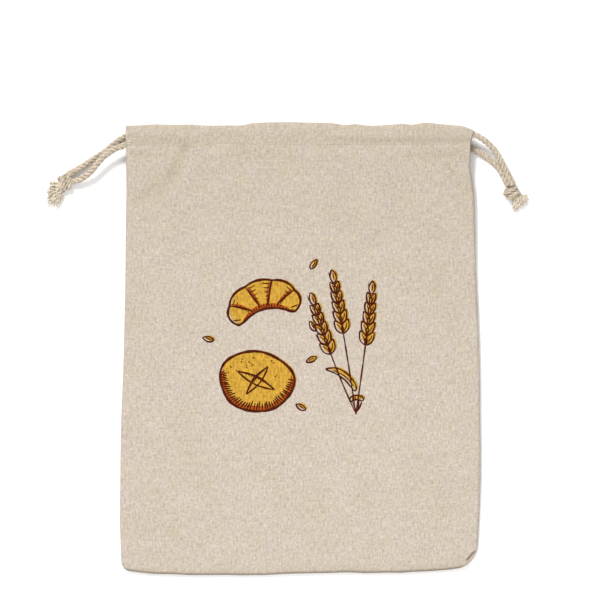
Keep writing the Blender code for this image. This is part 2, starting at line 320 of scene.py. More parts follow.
def threadStreaks(tree, flat):
    # thick and thin stretches of single threads, along each way of the cloth
    thin, long, upright = (linenSpec[key] for key in ("streakAcross", "streakAlong", "upright"))
    total = 0.0
    for scale, share in (((thin, long, 0.0), upright), ((long, thin, 0.0), 2 - upright)):
        scaled = addNode(tree, "ShaderNodeVectorMath", {0: flat, 1: scale}, operation="MULTIPLY")
        streak = addNode(tree, "ShaderNodeTexNoise", {"Scale": 1.0, "Detail": 1.0, "Vector": scaled})
        total = addNode(tree, "ShaderNodeMath", {0: streak, 1: share, 2: total},
                        operation="MULTIPLY_ADD")
    return total


def linenMaterial():
    # unbleached linen, plain woven from uneven spun flax: matt, oatmeal, with slubs and dark flecks
    made = newMaterial("unbleached linen, plain weave", linenSpec["shader"])
    tree = made.node_tree
    fleckAndShadeColour = hexColour(linenSpec["fleckAndShade"])
    flat = clothCoordinates(tree)
    threads = weave(tree, flat)
    streaks = threadStreaks(tree, flat)
    # spun yarn's thick and thin places, drawn twice as coarse as they are so that they show
    speckle = addNode(tree, "ShaderNodeTexNoise",
                      {"Scale": linenSpec["speckleScale"], "Detail": 0.5, "Roughness": 0.6,
                       "Vector": flat})
    cloud = addNode(tree, "ShaderNodeTexNoise",
                    {"Scale": linenSpec["cloudScale"], "Detail": 2.0, "Vector": flat})
    total = 0.0
    for part, share in ((speckle, "speckles"), (streaks, "streaks"), (threads, "crowns"),
                        (cloud, "clouds")):
        total = addNode(tree, "ShaderNodeMath", {0: part, 1: linenSpec[share], 2: total},
                        operation="MULTIPLY_ADD")
    tone = addNode(tree, "ShaderNodeMapRange",
                   {"Value": total, "From Min": linenSpec["level"] - linenSpec["soft"],
                    "From Max": linenSpec["level"] + linenSpec["soft"]})
    # yellower in slow clouds, and where the wear_and_painted_shade attribute says, which is mostly painted
    # shade
    hue = addNode(tree, "ShaderNodeTexNoise",
                  {"Vector": flat, "W": 3.0, "Scale": linenSpec["hueScale"], "Detail": 3.0},
                  noise_dimensions="4D")
    wear_and_painted_shade = addNode(tree, "ShaderNodeAttribute", attribute_name="wear_and_painted_shade")
    yellowed = addNode(tree, "ShaderNodeMath",
                       {0: wear_and_painted_shade.outputs["Fac"], 1: linenSpec["wear_and_painted_shade"], 2: hue}, operation="MULTIPLY_ADD")
    yellow = addNode(tree, "ShaderNodeMapRange", {"Value": yellowed, **linenSpec["yellows"]})
    pale = addNode(tree, "ShaderNodeMix",
                   {0: yellow, 6: hexColour(linenSpec["pale"]), 7: hexColour(linenSpec["yellow"])},
                   data_type="RGBA")
    cloth = addNode(tree, "ShaderNodeMix",
                    {0: tone, 6: hexColour(linenSpec["dark"]), 7: pale.outputs[2]}, data_type="RGBA")
    # flecks of bark left in the yarn, a few threads long
    stretched = addNode(tree, "ShaderNodeVectorMath", {0: flat, 1: linenSpec["fleckScale"]},
                        operation="MULTIPLY")
    specks = addNode(tree, "ShaderNodeTexNoise",
                     {"Scale": 1.0, "Detail": 2.0, "Roughness": 0.6, "Vector": stretched})
    rare = addNode(tree, "ShaderNodeMapRange", {"Value": specks, **linenSpec["flecks"]})
    flecked = addNode(tree, "ShaderNodeMix", {0: rare, 6: cloth.outputs[2], 7: fleckAndShadeColour},
                      data_type="RGBA")
    # painted shade: darker where the rim attribute says, at the bottom edge, in the creases and along the
    # corner's fold
    edge = addNode(tree, "ShaderNodeAttribute", attribute_name="rim")
    paintedShadeShare = addNode(tree, "ShaderNodeMath", {0: edge.outputs["Fac"], 1: linenSpec["rim"]},
                     operation="MULTIPLY")
    withPaintedShade = addNode(tree, "ShaderNodeMix", {0: paintedShadeShare, 6: flecked.outputs[2], 7: fleckAndShadeColour},
                     data_type="RGBA")
    height = addNode(tree, "ShaderNodeMath", {0: streaks, 1: linenSpec["slubs"], 2: threads},
                     operation="MULTIPLY_ADD")
    return dressMaterial(made, withPaintedShade, height, linenSpec["relief"], linenSpec["bump"])


def ropeMaterial(name, **changes):
    # spun cotton: each strand is several soft yarns laid round each other, matt and slightly hairy
    spec = {**ropeSpec, **changes}
    made = newMaterial(name, spec["shader"])
    tree = made.node_tree
    place = addNode(tree, "ShaderNodeTexCoord").outputs["Object"]
    if spec["ownCoordinates"]:
        along = clothCoordinates(tree)  # x along the strand, y round it
    else:
        along = addNode(tree, "ShaderNodeVectorMath", {0: place, "Scale": 1 / mm}, operation="SCALE")
    leaning = addNode(tree, "ShaderNodeVectorMath", {0: along, 1: spec["lean"]},
                      operation="DOT_PRODUCT")
    turned = addNode(tree, "ShaderNodeMath",
                     {0: leaning.outputs["Value"], 1: 2 * math.pi / spec["yarn"]}, operation="MULTIPLY")
    yarn = addNode(tree, "ShaderNodeMath", {0: turned}, operation="SINE")
    fuzz = addNode(tree, "ShaderNodeTexNoise",
                   {"Scale": spec["fuzzScale"], "Detail": 3.0, "Roughness": 0.7, "Vector": place})
    patches = addNode(tree, "ShaderNodeTexNoise",
                      {"Scale": spec["patchScale"], "Detail": 2.0, "Vector": place})
    mixed, height = (addNode(tree, "ShaderNodeMath", {0: yarn, 1: spec[share], 2: fuzz},
                             operation="MULTIPLY_ADD") for share in ("yarnTone", "yarnHeight"))
    whole = addNode(tree, "ShaderNodeMath", {0: patches, 1: spec["patchTone"], 2: mixed},
                    operation="MULTIPLY_ADD")
    tone = addNode(tree, "ShaderNodeMapRange", {"Value": whole, **spec["tones"]})
    colour = addNode(tree, "ShaderNodeMix",
                     {0: tone, 6: hexColour(spec["dark"]), 7: hexColour(spec["pale"])},
                     data_type="RGBA")
    return dressMaterial(made, colour, height, spec["relief"], spec["bump"])


def inkMaterial(name, colour):
    # water-based screen print, soaked into the cloth: matt, and thin where a thread stands proud
    made = newMaterial(name, inkSpec["shader"])
    tree = made.node_tree
    flat = clothCoordinates(tree)
    threads = weave(tree, flat)
    streaks = threadStreaks(tree, flat)
    grain = addNode(tree, "ShaderNodeTexNoise",
                    {"Scale": inkSpec["grainScale"], "Detail": 3.0, "Roughness": 0.7,
                     "Vector": flat})
    sparse = addNode(tree, "ShaderNodeMath", {0: threads, 1: inkSpec["rubbing"], 2: grain},
                     operation="MULTIPLY_ADD")
    wear_and_painted_shade = addNode(tree, "ShaderNodeMapRange", {"Value": sparse, **inkSpec["bare"]})
    shade = addNode(tree, "ShaderNodeMapRange", {"Value": streaks, **inkSpec["shades"]})
    tint = addNode(tree, "ShaderNodeVectorMath", {0: hexColour(colour)[:3], "Scale": shade},
                   operation="SCALE")
    mixed = addNode(tree, "ShaderNodeMix", {0: wear_and_painted_shade, 6: tint, 7: hexColour(inkSpec["linen"])},
                    data_type="RGBA")
    return dressMaterial(made, mixed, threads, inkSpec["relief"], linenSpec["bump"])


linenFinish = linenMaterial()
ropeFinish = ropeMaterial("twisted cotton cord")
tuftFinish = ropeMaterial("loose cotton yarn", dark="#b4a58e", pale="#e2d8c7", yarn=0.5)
threadFinish = ropeMaterial("linen sewing thread", dark="#9f927e", pale="#c4b8a4", yarn=0.25,
                            ownCoordinates=False)
fibreFinish = ropeMaterial("loose cotton fibre", dark="#b9ad99", ownCoordinates=False)
brownInk = inkMaterial("brown screen print on linen", inkSpec["brown"])
goldInk = inkMaterial("golden screen print on linen", inkSpec["gold"])
crustInk = inkMaterial("chestnut screen print on linen", inkSpec["crust"])
paperFinish = newMaterial("white paper sweep", floorSpec)  # matt, without a highlight
print("finishes made")


# The free ends' routes, from inside the tunnels to the knots.
cordRoutes = {
    "cord_left_front": (
        (-125, 176.0, 14.95), (-133, 175.3, 14.8), (-139, 173.2, 14.8), (-146.5, 168.9, 14.5),
        (-154.8, 165.7, 14.1), (-162.1, 161.0, 13.4), (-168.0, 154.6, 12.2), (-174.7, 146.8, 10.0),
        (-183.5, 140.8, 7.0), (-192.4, 139.0, 5.3)),
    "cord_left_back": (
        (-125, 177.6, 3.8), (-135, 177.6, 3.8), (-141, 177.3, 3.8), (-146.5, 176.2, 3.9),
        (-153.8, 171.6, 3.4), (-163.4, 163.8, 2.9), (-174.2, 156.8, 2.8), (-184.9, 149.9, 3.3),
        (-194.6, 144.7, 4.9)),
    "cord_right_front": (
        (125, 181.2, 14.95), (133, 181.0, 14.8), (139, 180.2, 14.8), (145.4, 178.2, 14.6),
        (151.6, 175.0, 13.9), (157.8, 170.3, 12.5), (163.2, 164.6, 11.1), (167.8, 157.2, 9.7),
        (172.0, 149.0, 8.9), (175.6, 141.6, 9.0), (178.3, 135.9, 9.3)),
    "cord_right_back": (
        (125, 170.5, 3.8), (133, 170.3, 3.8), (139, 169.0, 3.8), (145.4, 166.3, 3.9),
        (152.2, 162.5, 3.7), (159.0, 157.8, 3.4), (165.0, 152.6, 3.4), (169.0, 147.0, 3.7),
        (172.2, 140.6, 4.3), (174.8, 135.8, 4.9)),
}
cordSpec = {
    "diameter": 5.2,
    "heldDiameter": 4.3,
    "strandReach": 0.27,  # a strand's middle from the cord's, and its radius, for each diameter
    "strandRadius": 0.24,
    "lay": 12.6,  # one full turn of a strand
    "step": 0.8,
    "sides": 15,
    "heldStep": 1.6,
    "heldSides": 8,
    "heldStart": 0.4,
    "wrapStart": 0.9,
    "turnPoints": 60,
    "tip": 0.6,  # how far a strand's end stands out, for each radius
    "ridges": 5,  # yarns that show round each strand
    "ridge": 0.09,
    "yarnLay": 9.0,
    "exits": 3,  # each route's first point outside its tunnel
    "startAngles": {"cord_left_front": 10, "cord_left_back": 70, "cord_right_front": 40,
                    "cord_right_back": 95},
}


def movingFrame(line, up=(0.0, 0.0, 1.0)):
    # the line's direction at each point, and two square to it that turn as little as they can
    tangents = np.gradient(line, axis=0)
    tangents /= np.linalg.norm(tangents, axis=1)[:, None]
    normals = np.zeros_like(line)
    normal = np.array(up)
    for k, t in enumerate(tangents):
        normal = normal - t * normal.dot(t)
        normal /= np.linalg.norm(normal)
        normals[k] = normal
    return tangents, normals, np.cross(tangents, normals)


class Soft:
    # closed tubes gathered for one mesh, with flat coordinates along and round them
    def __init__(self):
        self.verts, self.uv, self.faces, self.count = [], [], [], 0

    def tube(self, line, radii, sides, ridges=0, ridge=0.0, lay=0.0, start=0.0):
        # its own ridges turn round it once in each lay
        rise = line[1] - line[0]
        steep = abs(rise[2]) >= 0.8 * np.linalg.norm(rise)
        tangents, normals, others = movingFrame(line, (1.0, 0.0, 0.0) if steep else (0.0, 0.0, 1.0))
        gone = travelled(line)[:, None]
        radii = np.broadcast_to(radii, len(line))[:, None]
        around = 2 * math.pi * np.arange(sides) / sides
        angle = (around + start + (2 * math.pi * gone / lay if lay else 0 * gone))[..., None]
        reach = (radii * (1 + ridge * np.cos(ridges * around)))[..., None]
        rings = line[:, None] + reach * (normals[:, None] * np.cos(angle)
                                         + others[:, None] * np.sin(angle))
        out = np.array(((-1,), (1,))) * cordSpec["tip"]
        tips = line[[0, -1]] + out * radii[[0, -1]] * tangents[[0, -1]]
        self.verts += [rings.reshape(-1, 3), tips]
        self.uv += [np.stack([gone + 0 * around, around * radii], axis=-1).reshape(-1, 2),
                    np.concatenate([gone[[0, -1]], np.zeros((2, 1))], axis=1)]
        at = self.count + np.arange(len(line) * sides).reshape(-1, sides)
        beside = np.roll(at, -1, axis=1)
        tip = np.full(sides, at[-1, -1] + 1)
        self.faces += np.stack([at[:-1], beside[:-1], beside[1:], at[1:]], -1).reshape(-1, 4).tolist()
        self.faces += np.stack([beside[0], at[0], tip], -1).tolist()
        self.faces += np.stack([at[-1], beside[-1], tip + 1], -1).tolist()
        self.count += at.size + 2

    def piece(self, name, finish):
        return addPiece(name, np.concatenate(self.verts), self.faces, finish, np.concatenate(self.uv))


def addRope(name, line, diameter, start, sides=cordSpec["sides"]):
    # three strands wound round the line, with no yarns on a coarse one
    soft = Soft()
    _, normals, others = movingFrame(line)
    gone = travelled(line)
    for i in range(3):
        angle = (start + 2 * math.pi * (i / 3 + gone / cordSpec["lay"]))[:, None]
        strand = line + diameter * cordSpec["strandReach"] * (normals * np.cos(angle)
                                                              + others * np.sin(angle))
        soft.tube(strand, diameter * cordSpec["strandRadius"], sides,
                  cordSpec["ridges"] if sides >= cordSpec["sides"] else 0, cordSpec["ridge"],
                  -cordSpec["yarnLay"], start)
    return soft.piece(name, ropeFinish)


def addCord(name):
    line = smoothLine(cordRoutes[name], cordSpec["step"])
    start = math.radians(cordSpec["startAngles"][name])
    rope = addRope(name + "_rope", line, cordSpec["diameter"], start)
    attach(rope, "root")
    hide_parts(name)


def declareCord(name):
    # only works out the free end's smooth line, which nothing uses
    line = smoothLine(cordRoutes[name], cordSpec["step"])


for cordName in cordRoutes:
    addCord(cordName)
print("free cord ends made")


bagSpec = {
    "cloth": 0.7,
    "backHeight": 0.36,  # middle of the lowest layer above the surface
    "tunnelRise": 6.4,  # middle of the hem to middle of the outer layer, over the cord
    "stitchLayers": 0.75,  # middle of the outer layer to middle of the hem, where they are sewn
    "pinch": 5.0,  # how far above the stitches the hem has come away from the outer layer
    "openEnd": 9.0,  # how far in from the sides the tunnel is wholly open
    "closesOver": 18.0,
    # how far the stitches pull the cloth in, and over what half width
    "groove": 0.08,
    "grooveHalf": 1.6,
    "backGroove": 0.3,
    "backGrooveHalf": 1.4,
    "tunnelReach": 26.0,  # how far below the stitches the tunnel lifts the cloth
    "creaseHeld": 0.6,  # the part of a crease's depth that it has at the stitches
    # the gathers are deepest at this height above the stitches, and fade away from it
    "puckerMiddle": 4.0,
    "puckerFull": 1.3,
    "puckerFade": 13.0,
    "foldLength": 2.2,  # how far the top's fold stands out past the flat layers
    "hemPastStitch": 3.0,
    "hemInset": 12.0,  # how far in from the sides the hem's ends lie
    "backTopDrop": 2.5,  # how much lower the back's top edge and stitches are
    "backStitchDrop": 7.5,
    "slit": 20.0,  # how far under the stitches the sides come open, and are wholly so
    "slitTop": 4.0,
    "sideRoll": 2.4,  # how far in the cloth rounds off, at the sides and at the bottom
    "bottomRoll": 2.4,
    "seamLift": 0.42,  # middle of the seam to middle of each layer
    "leftCorner": 5.5,  # radii of the bottom corners
    "rightCorner": 15.6,
    "halfWidth": 147.0,
    # the turned allowances' points: how far in, and how far down in the front or up in the back
    "allowances": ((0.35, 0.28), (3.0, 0.34), (8.0, 0.36)),
    "shadeTintAbove": 2.5,  # middle of the yellowed band of painted shade in the fold over the stitch line
    "shadeTintOver": 4.5,
    "stitchShadeTint": 0.45,
    # the tunnel above the stitches a little yellower, as painted warm shade
    "hemShadeTint": 0.22,
    "hemShadeTintOver": 3.0,
    # yellower towards the top
    "upperYellower": 0.14,
    "upperYellowerFrom": -20.0,
    "upperYellowerOver": 100.0,
    # a yellow painted shade along the bottom
    "bottomShadeTint": 0.35,
    "bottomFold": 0.4,  # how far the bottom's fold goes in
    "rim": 1.3,  # how far in from it the cloth is painted dark, as shade
    "bottomOver": 6.5,  # and how far in painted shade makes it a little darker
    "bottomShade": 0.17,
    # the part of that painted shade at the left, and where it grows to the whole
    "shadeLeft": 0.55,
    "shadeGrows": 0.45,
    "shadeFrom": -40.0,
    "shadeOver": 140.0,
    # painted shade in the creases
    "creaseShade": 0.16,
    "rumples": ((0.32, 34, 46, 0), (0.05, 9, 11, 5)),  # depth, size across and up, and layer
    # the folded corner: both ends of its fold, the step down past it, and how soon it is down
    "foldFrom": (140.2, -177.2),
    "foldTo": (145.6, -171.1),
    "foldDrop": 1.8,
    "foldOver": 0.8,
    "foldFade": 0.25,  # how far it goes on past its ends, in its own length
    "foldShade": 0.9,  # half the width of its painted shadow line
    "foldDark": 1.3,
}
# Down the bag: the side edges, the front's height in the middle and near the sides, the seam.
down = {
    "up": (-188.2, -155, -120, -60, -20, 20, 60, 100, 130, 150, 169.4, 188.2),
    "left": (-148.8, -150.0, -149.9, -149.0, -147.4, -146.4, -145.6, -145.2, -144.6, -144.6, -144.6,
             -144.6),
    "right": (148.2, 149.9, 151.2, 151.0, 150.6, 149.3, 147.6, 146.8, 145.5, 142.6, 142.2, 144.6),
    "middle": (5.6, 6.8, 7.6, 8.1, 8.3, 8.7, 9.7, 11.7, 14.1, 16.1, 17.9, 17.9),
    "side": (5.4, 6.1, 6.7, 7.1, 7.4, 7.8, 8.6, 10.4, 12.7, 14.8, 16.6, 16.6),
    "seam": (1.7, 2.6, 3.2, 3.6, 3.7, 3.8, 4.1, 5.0, 6.6, 8.4, 9.5, 9.5),
}
bottomUp, stitchUp, topUp = down["up"][0], down["up"][-2], down["up"][-1]
# Across the bag: top edge, tunnel's stitch line, bottom edge, how far the tunnel stands above
# its stitch line, and how soon it does.
across = {
    "x": (-150, -144, -133, -123, -104, -92, -79, -60, -46, -41, -31, -12, 8, 30, 38, 47, 54, 76, 84,
          94, 105, 117, 129, 138, 143, 150),
    "top": (185.8, 185.5, 185.7, 186.4, 186.0, 186.3, 185.5, 185.6, 186.0, 187.2, 187.9, 188.2, 187.9,
            187.1, 185.8, 186.7, 185.7, 186.1, 186.9, 186.2, 187.9, 186.7, 185.7, 184.4, 182.5, 180.4),
    "stitch": (169.4, 169.4, 169.3, 169.2, 168.2, 167.4, 169.4, 170.8, 170.2, 170.0, 169.8, 169.6,
               169.2, 169.6, 169.6, 169.6, 169.6, 169.8, 169.7, 169.8, 169.9, 170.0, 170.2, 170.4,
               170.5, 170.6),
    "bottom": (-184.9, -186.5, -188.2, -189.2, -189.7, -190.3, -190.3, -190.2, -190.5, -190.4, -190.3,
               -189.3, -188.9, -188.4, -188.1, -188.3, -188.6, -188.3, -188.4, -187.7, -187.2, -186.5,
               -185.2, -183.8, -182.8, -180.6),
    "rise": (2.0, 2.1, 2.2, 2.4, 2.4, 2.2, 1.9, 1.7, 1.6, 1.6, 1.6, 1.6, 1.7, 1.8, 2.0, 2.2, 2.3, 2.5,
             2.6, 2.6, 2.6, 2.6, 2.5, 2.3, 2.1, 1.9),
    "over": (11,) * 11 + (10.5, 10, 9, 8.5, 8, 7.5) + (7,) * 9,
}
# Gathers that cross the front tunnel.
puckers = {
    "x": (-94.0, -108.0, -41.5, 6.0, 31.0, 55.0, 92.0, 118.0),
    "lean": (0.25, -0.5, 0.0, 0.05, 0.1, -0.1, 0.15, 0.2),
    "width": (2.4, 3.4, 1.6, 1.8, 2.6, 2.4, 3.0, 3.4),
    "depth": (0.75, 0.35, 0.5, 0.45, 0.2, 0.4, 0.25, 0.25),
}
# Soft creases: both ends, width, and depth, which is below zero for a ridge.
creases = {
    "from": ((-95, 167), (-106, 143), (-138, 161), (92, 160), (-84, 166), (20, 166), (126, 150),
             (-140, 40), (-128, -10), (64, 150), (-56, 161), (-100, -60), (96, -96), (-20, -120),
             (30, 110), (118, 60), (-134, -150)),
    "to": ((-106, 143), (-136, 122), (-110, 160), (136, 161), (-96, 130), (12, 148), (140, 128),
           (-136, -20), (-118, -80), (84, 138), (-8, 160), (-84, -110), (120, -140), (20, -138),
           (62, 96), (128, 10), (-96, -160)),
    "width": (4.5, 6.0, 2.6, 4.5, 5.0, 5.0, 6.0, 6.0, 9.0, 6.0, 6.0, 12.0, 12.0, 12.0, 10.0, 9.0, 9.0),
    "depth": (1.5, 0.9, 0.6, 0.8, -0.5, 0.2, 0.25, 0.3, -0.25, 0.2, 0.5, 0.25, 0.2, 0.2, 0.2, 0.25,
              0.2),
}
# Rows and columns of points: their steps in from the edges, and their places under the stitches.
edgeSteps = (0, 0.25, 0.35, 0.45, 0.5, 0.55, 0.6, 0.65, 0.65, 0.7, 0.7, 0.75, 0.75, 0.8, 0.8, 0.85,
             0.9, 0.95, 1.05, 1.2, 1.4, 1.6, 1.8, 2.0)
stitchRows = (0.0, 0.8, 1.6, 2.6, 3.8, 5.2, 6.8, 8.6, 10.6)
# The open mouth: its gap in the middle and at the sides, where it narrows, and what lies under it.
openingShape = {"middle": 4.6, "side": 3.4, "half": 60.0, "narrows": 80.0, "backRise": 6.6,
                "layers": 1.5}


def creaseDepth(x, y):
    depth = np.zeros_like(x)
    for start, end, width, deep in zip(*creases.values()):
        run = np.subtract(end, start)
        t = np.clip(((x - start[0]) * run[0] + (y - start[1]) * run[1]) / run.dot(run), 0, 1)
        off = np.hypot(x - start[0] - run[0] * t, y - start[1] - run[1] * t) / width
        depth += deep * np.exp(-off * off)
    return depth


def foldPlaces(x, y):
    # how far past the fold at the right bottom corner, and 1 beside it, falling to 0 beyond its ends
    start, run = bagSpec["foldFrom"], np.subtract(bagSpec["foldTo"], bagSpec["foldFrom"])
    length = math.hypot(*run)
    past = ((x - start[0]) * run[1] - (y - start[1]) * run[0]) / length
    along = ((x - start[0]) * run[0] + (y - start[1]) * run[1]) / length ** 2
    fade = bagSpec["foldFade"]
    return past, smoothStep((along + fade) / fade) * smoothStep((1 + fade - along) / fade)


def cornerDrop(x, y):
    # past the fold only the lower layer is left
    past, beside = foldPlaces(x, y)
    return bagSpec["foldDrop"] * smoothStep(past / bagSpec["foldOver"] + 0.5) * beside


def puckerDepth(x, above):
    depth = np.zeros_like(x)
    for at, lean, width, deep in zip(*puckers.values()):
        depth += deep * np.exp(-((x - at - lean * above) / width) ** 2)
    away = np.abs(above - bagSpec["puckerMiddle"]) / bagSpec["puckerFade"]
    return depth * smoothStep(bagSpec["puckerFull"] - away)


def rumple(x, y):
    # uneven hang of washed linen
    made = np.zeros(len(x))
    for depth, wide, tall, layer in bagSpec["rumples"]:
        made += depth * np.array([noise.noise(Vector((a / wide, b / tall, layer)))
                                  for a, b in zip(x, y)])
    return made


def hemHeight(x):
    gap = smoothStep(1 - (np.abs(x) - openingShape["half"]) / openingShape["narrows"])
    mouth = openingShape["side"] + (openingShape["middle"] - openingShape["side"]) * gap
    return openingShape["layers"] + openingShape["backRise"] + mouth


def cornerInset(above, radius):
    gap = np.clip(radius - above, 0, radius)
    return radius - np.sqrt(radius ** 2 - gap ** 2)


def sideEdges(up):
    left = readTable(down, "left", up) + cornerInset(up - bottomUp, bagSpec["leftCorner"])
    right = readTable(down, "right", up) - cornerInset(up - bottomUp, bagSpec["rightCorner"])
    return left, right


def stitchLine(x, front):
    return readTable(across, "stitch", x) - (0.0 if front else bagSpec["backStitchDrop"])


def topEdge(x, front):
    return readTable(across, "top", x) - (0.0 if front else bagSpec["backTopDrop"])


def placeUp(x, up, front):
    # the body's nominal height up the bag to the real one, with its uneven bottom and stitch line
    bottom = readTable(across, "bottom", x)
    return bottom + (stitchLine(x, front) - bottom) * (up - bottomUp) / (stitchUp - bottomUp)


def tunnelLayers(x, above, front):
    # heights of the outer layer and the hem, which meet at the stitch line
    left, right = sideEdges(np.full_like(x, stitchUp))
    fromSide = np.minimum(x - left, right - x)
    openEnd = 1 - smoothStep((fromSide - bagSpec["openEnd"]) / bagSpec["closesOver"])
    pinched = smoothStep(above / bagSpec["pinch"])
    if front:
        base = hemHeight(x)
        low = 1 - smoothStep(above / readTable(across, "over", x))
        outer = base + bagSpec["tunnelRise"] - readTable(across, "rise", x) * low
        outer -= puckerDepth(x, above)
        meets = outer - bagSpec["stitchLayers"]
        return outer, base + (meets - base) * (1 - pinched) * (1 - openEnd)
    groove = bagSpec["backGroove"] * np.exp(-(above / bagSpec["backGrooveHalf"]) ** 2)
    outer = bagSpec["backHeight"] + groove
    lift = (openingShape["backRise"] - bagSpec["stitchLayers"]) * np.maximum(pinched, openEnd)
    return outer, outer + bagSpec["stitchLayers"] + lift


def bodyHeights(x, y, up, front):
    left, right = sideEdges(up)
    seam = readTable(down, "seam", y)
    sides = rounded(np.minimum(x - left, right - x), bagSpec["sideRoll"])
    opened = smoothStep((up - (stitchUp - bagSpec["slit"])) / (bagSpec["slit"] - bagSpec["slitTop"]))
    sides = sides + (1 - sides) * opened
    full = sides * rounded(up - bottomUp, bagSpec["bottomRoll"])
    if not front:
        return bagSpec["backHeight"] + (seam - bagSpec["seamLift"] - bagSpec["backHeight"]) * (1 - full)
    share = np.clip((2 * x - left - right) / (right - left), -1, 1)
    middle, side = (readTable(down, column, up) for column in ("middle", "side"))
    low = seam + bagSpec["seamLift"]
    flat = side + (middle - side) * (1 - np.abs(share) ** 3)
    z = low + (flat - creaseDepth(x, y) - cornerDrop(x, y) + rumple(x, y) - low) * full
    outer, _ = tunnelLayers(x, np.zeros_like(x), True)
    reach = smoothStep((up - stitchUp + bagSpec["tunnelReach"]) / bagSpec["tunnelReach"])
    groove = bagSpec["groove"] * np.exp(-((stitchUp - up) / bagSpec["grooveHalf"]) ** 2)
    return z + (outer - creaseDepth(x, y) * bagSpec["creaseHeld"] - z) * reach - groove


def acrossShares(step):
    # places across, from -1 at the left edge to 1 at the right one
    half, edge = bagSpec["halfWidth"], np.cumsum(edgeSteps)
    inner = half - edge[-1]
    middle = np.linspace(-inner, inner, round(2 * inner / step) + 1)
    return np.concatenate([-half + edge[:-1], middle, half - edge[:-1][::-1]]) / half


def bodyRows(step):
    near = bottomUp + np.cumsum(edgeSteps)
    far = stitchUp - np.array(stitchRows)
    between = np.linspace(near[-1], far[-1], round((far[-1] - near[-1]) / step) + 1)[1:-1]
    return np.concatenate([near, between, far[::-1]])


def panelSection(shares, step, front):
    # rows of points from the bottom edge, over the tunnel, to the hem's end
    fold, inset, rows = bagSpec["foldLength"], bagSpec["hemInset"], []

    def atInset(inset, share):
        left, right = sideEdges(np.full_like(shares, stitchUp + (topUp - stitchUp) * share))
        return left + inset + (right - left - 2 * inset) * (shares + 1) / 2

    def addTunnelRow(x, above, layer):
        rows.append((x, stitchLine(x, front) + above, tunnelLayers(x, above, front)[layer]))

    for up in bodyRows(step):
        ups = np.full_like(shares, up)
        left, right = sideEdges(ups)
        x = left + (right - left) * (shares + 1) / 2
        y = placeUp(x, ups, front)
        rows.append((x, y, bodyHeights(x, y, ups, front)))
    # up the tunnel's outer side
    for t in np.linspace(0, 1, 13)[1:]:
        x = atInset(0.0, t)
        addTunnelRow(x, (topEdge(x, front) - fold - stitchLine(x, front)) * t, 0)
    # round its top fold, from whose last rows the hem's ends lie further in
    for i in range(1, 10):
        angle = math.pi * i / 10
        x = atInset(inset * max(0, i - 6) / 4, 1.0)
        top = topEdge(x, front) - fold
        outer, hem = tunnelLayers(x, top - stitchLine(x, front), front)
        rows.append((x, top + (fold - bagSpec["cloth"] / 2) * math.sin(angle),
                     (outer + hem) / 2 + (outer - hem) / 2 * math.cos(angle)))
    # down the hem, closer together near the stitches, and past them
    x = atInset(inset, 1.0)
    room = topEdge(x, front) - fold - stitchLine(x, front)
    for t in (1.0, 0.8, 0.6, 0.45, 0.32, 0.22, 0.14, 0.07, 0.0):
        addTunnelRow(x, room * t, 1)
    for past in (1.5, bagSpec["hemPastStitch"]):
        addTunnelRow(x, np.full_like(x, -past), 1)
    return np.array(rows).transpose(0, 2, 1)


def withAllowances(rows, front):
    # the seam allowances, turned in at both sides and along the bottom
    way = -1 if front else 1
    turns = bagSpec["allowances"]
    out = []
    for row in rows:
        left, right = ([edge + np.array((inward * inset, 0.0, way * drop)) for inset, drop in turns]
                       for edge, inward in ((row[0], 1), (row[-1], -1)))
        out.append(np.concatenate([left[::-1], row, right]))
    first = [out[0] + np.array((0.0, inset, way * drop)) for inset, drop in turns[::-1]]
    return np.array(first + out)


def gridFaces(rows, columns):
    at = np.arange(rows * columns).reshape(rows, columns)
    quads = np.stack([at[:-1, :-1], at[:-1, 1:], at[1:, 1:], at[1:, :-1]], axis=-1)
    return quads.reshape(-1, 4).tolist()


def flatCut(grid):
    # lengths along the cloth both ways, so its weave lies straight in the cut
    rows, columns = grid.shape[:2]
    steps = np.linalg.norm(np.diff(grid, axis=1), axis=2)
    wide = np.concatenate([np.zeros((rows, 1)), np.cumsum(steps, axis=1)], axis=1)
    middle = columns // 2
    wide -= wide[:, middle:middle + 1]
    tall = travelled(grid[:, middle])
    return np.stack([wide, np.repeat(tall[:, None], columns, axis=1)], axis=-1).reshape(-1, 2)


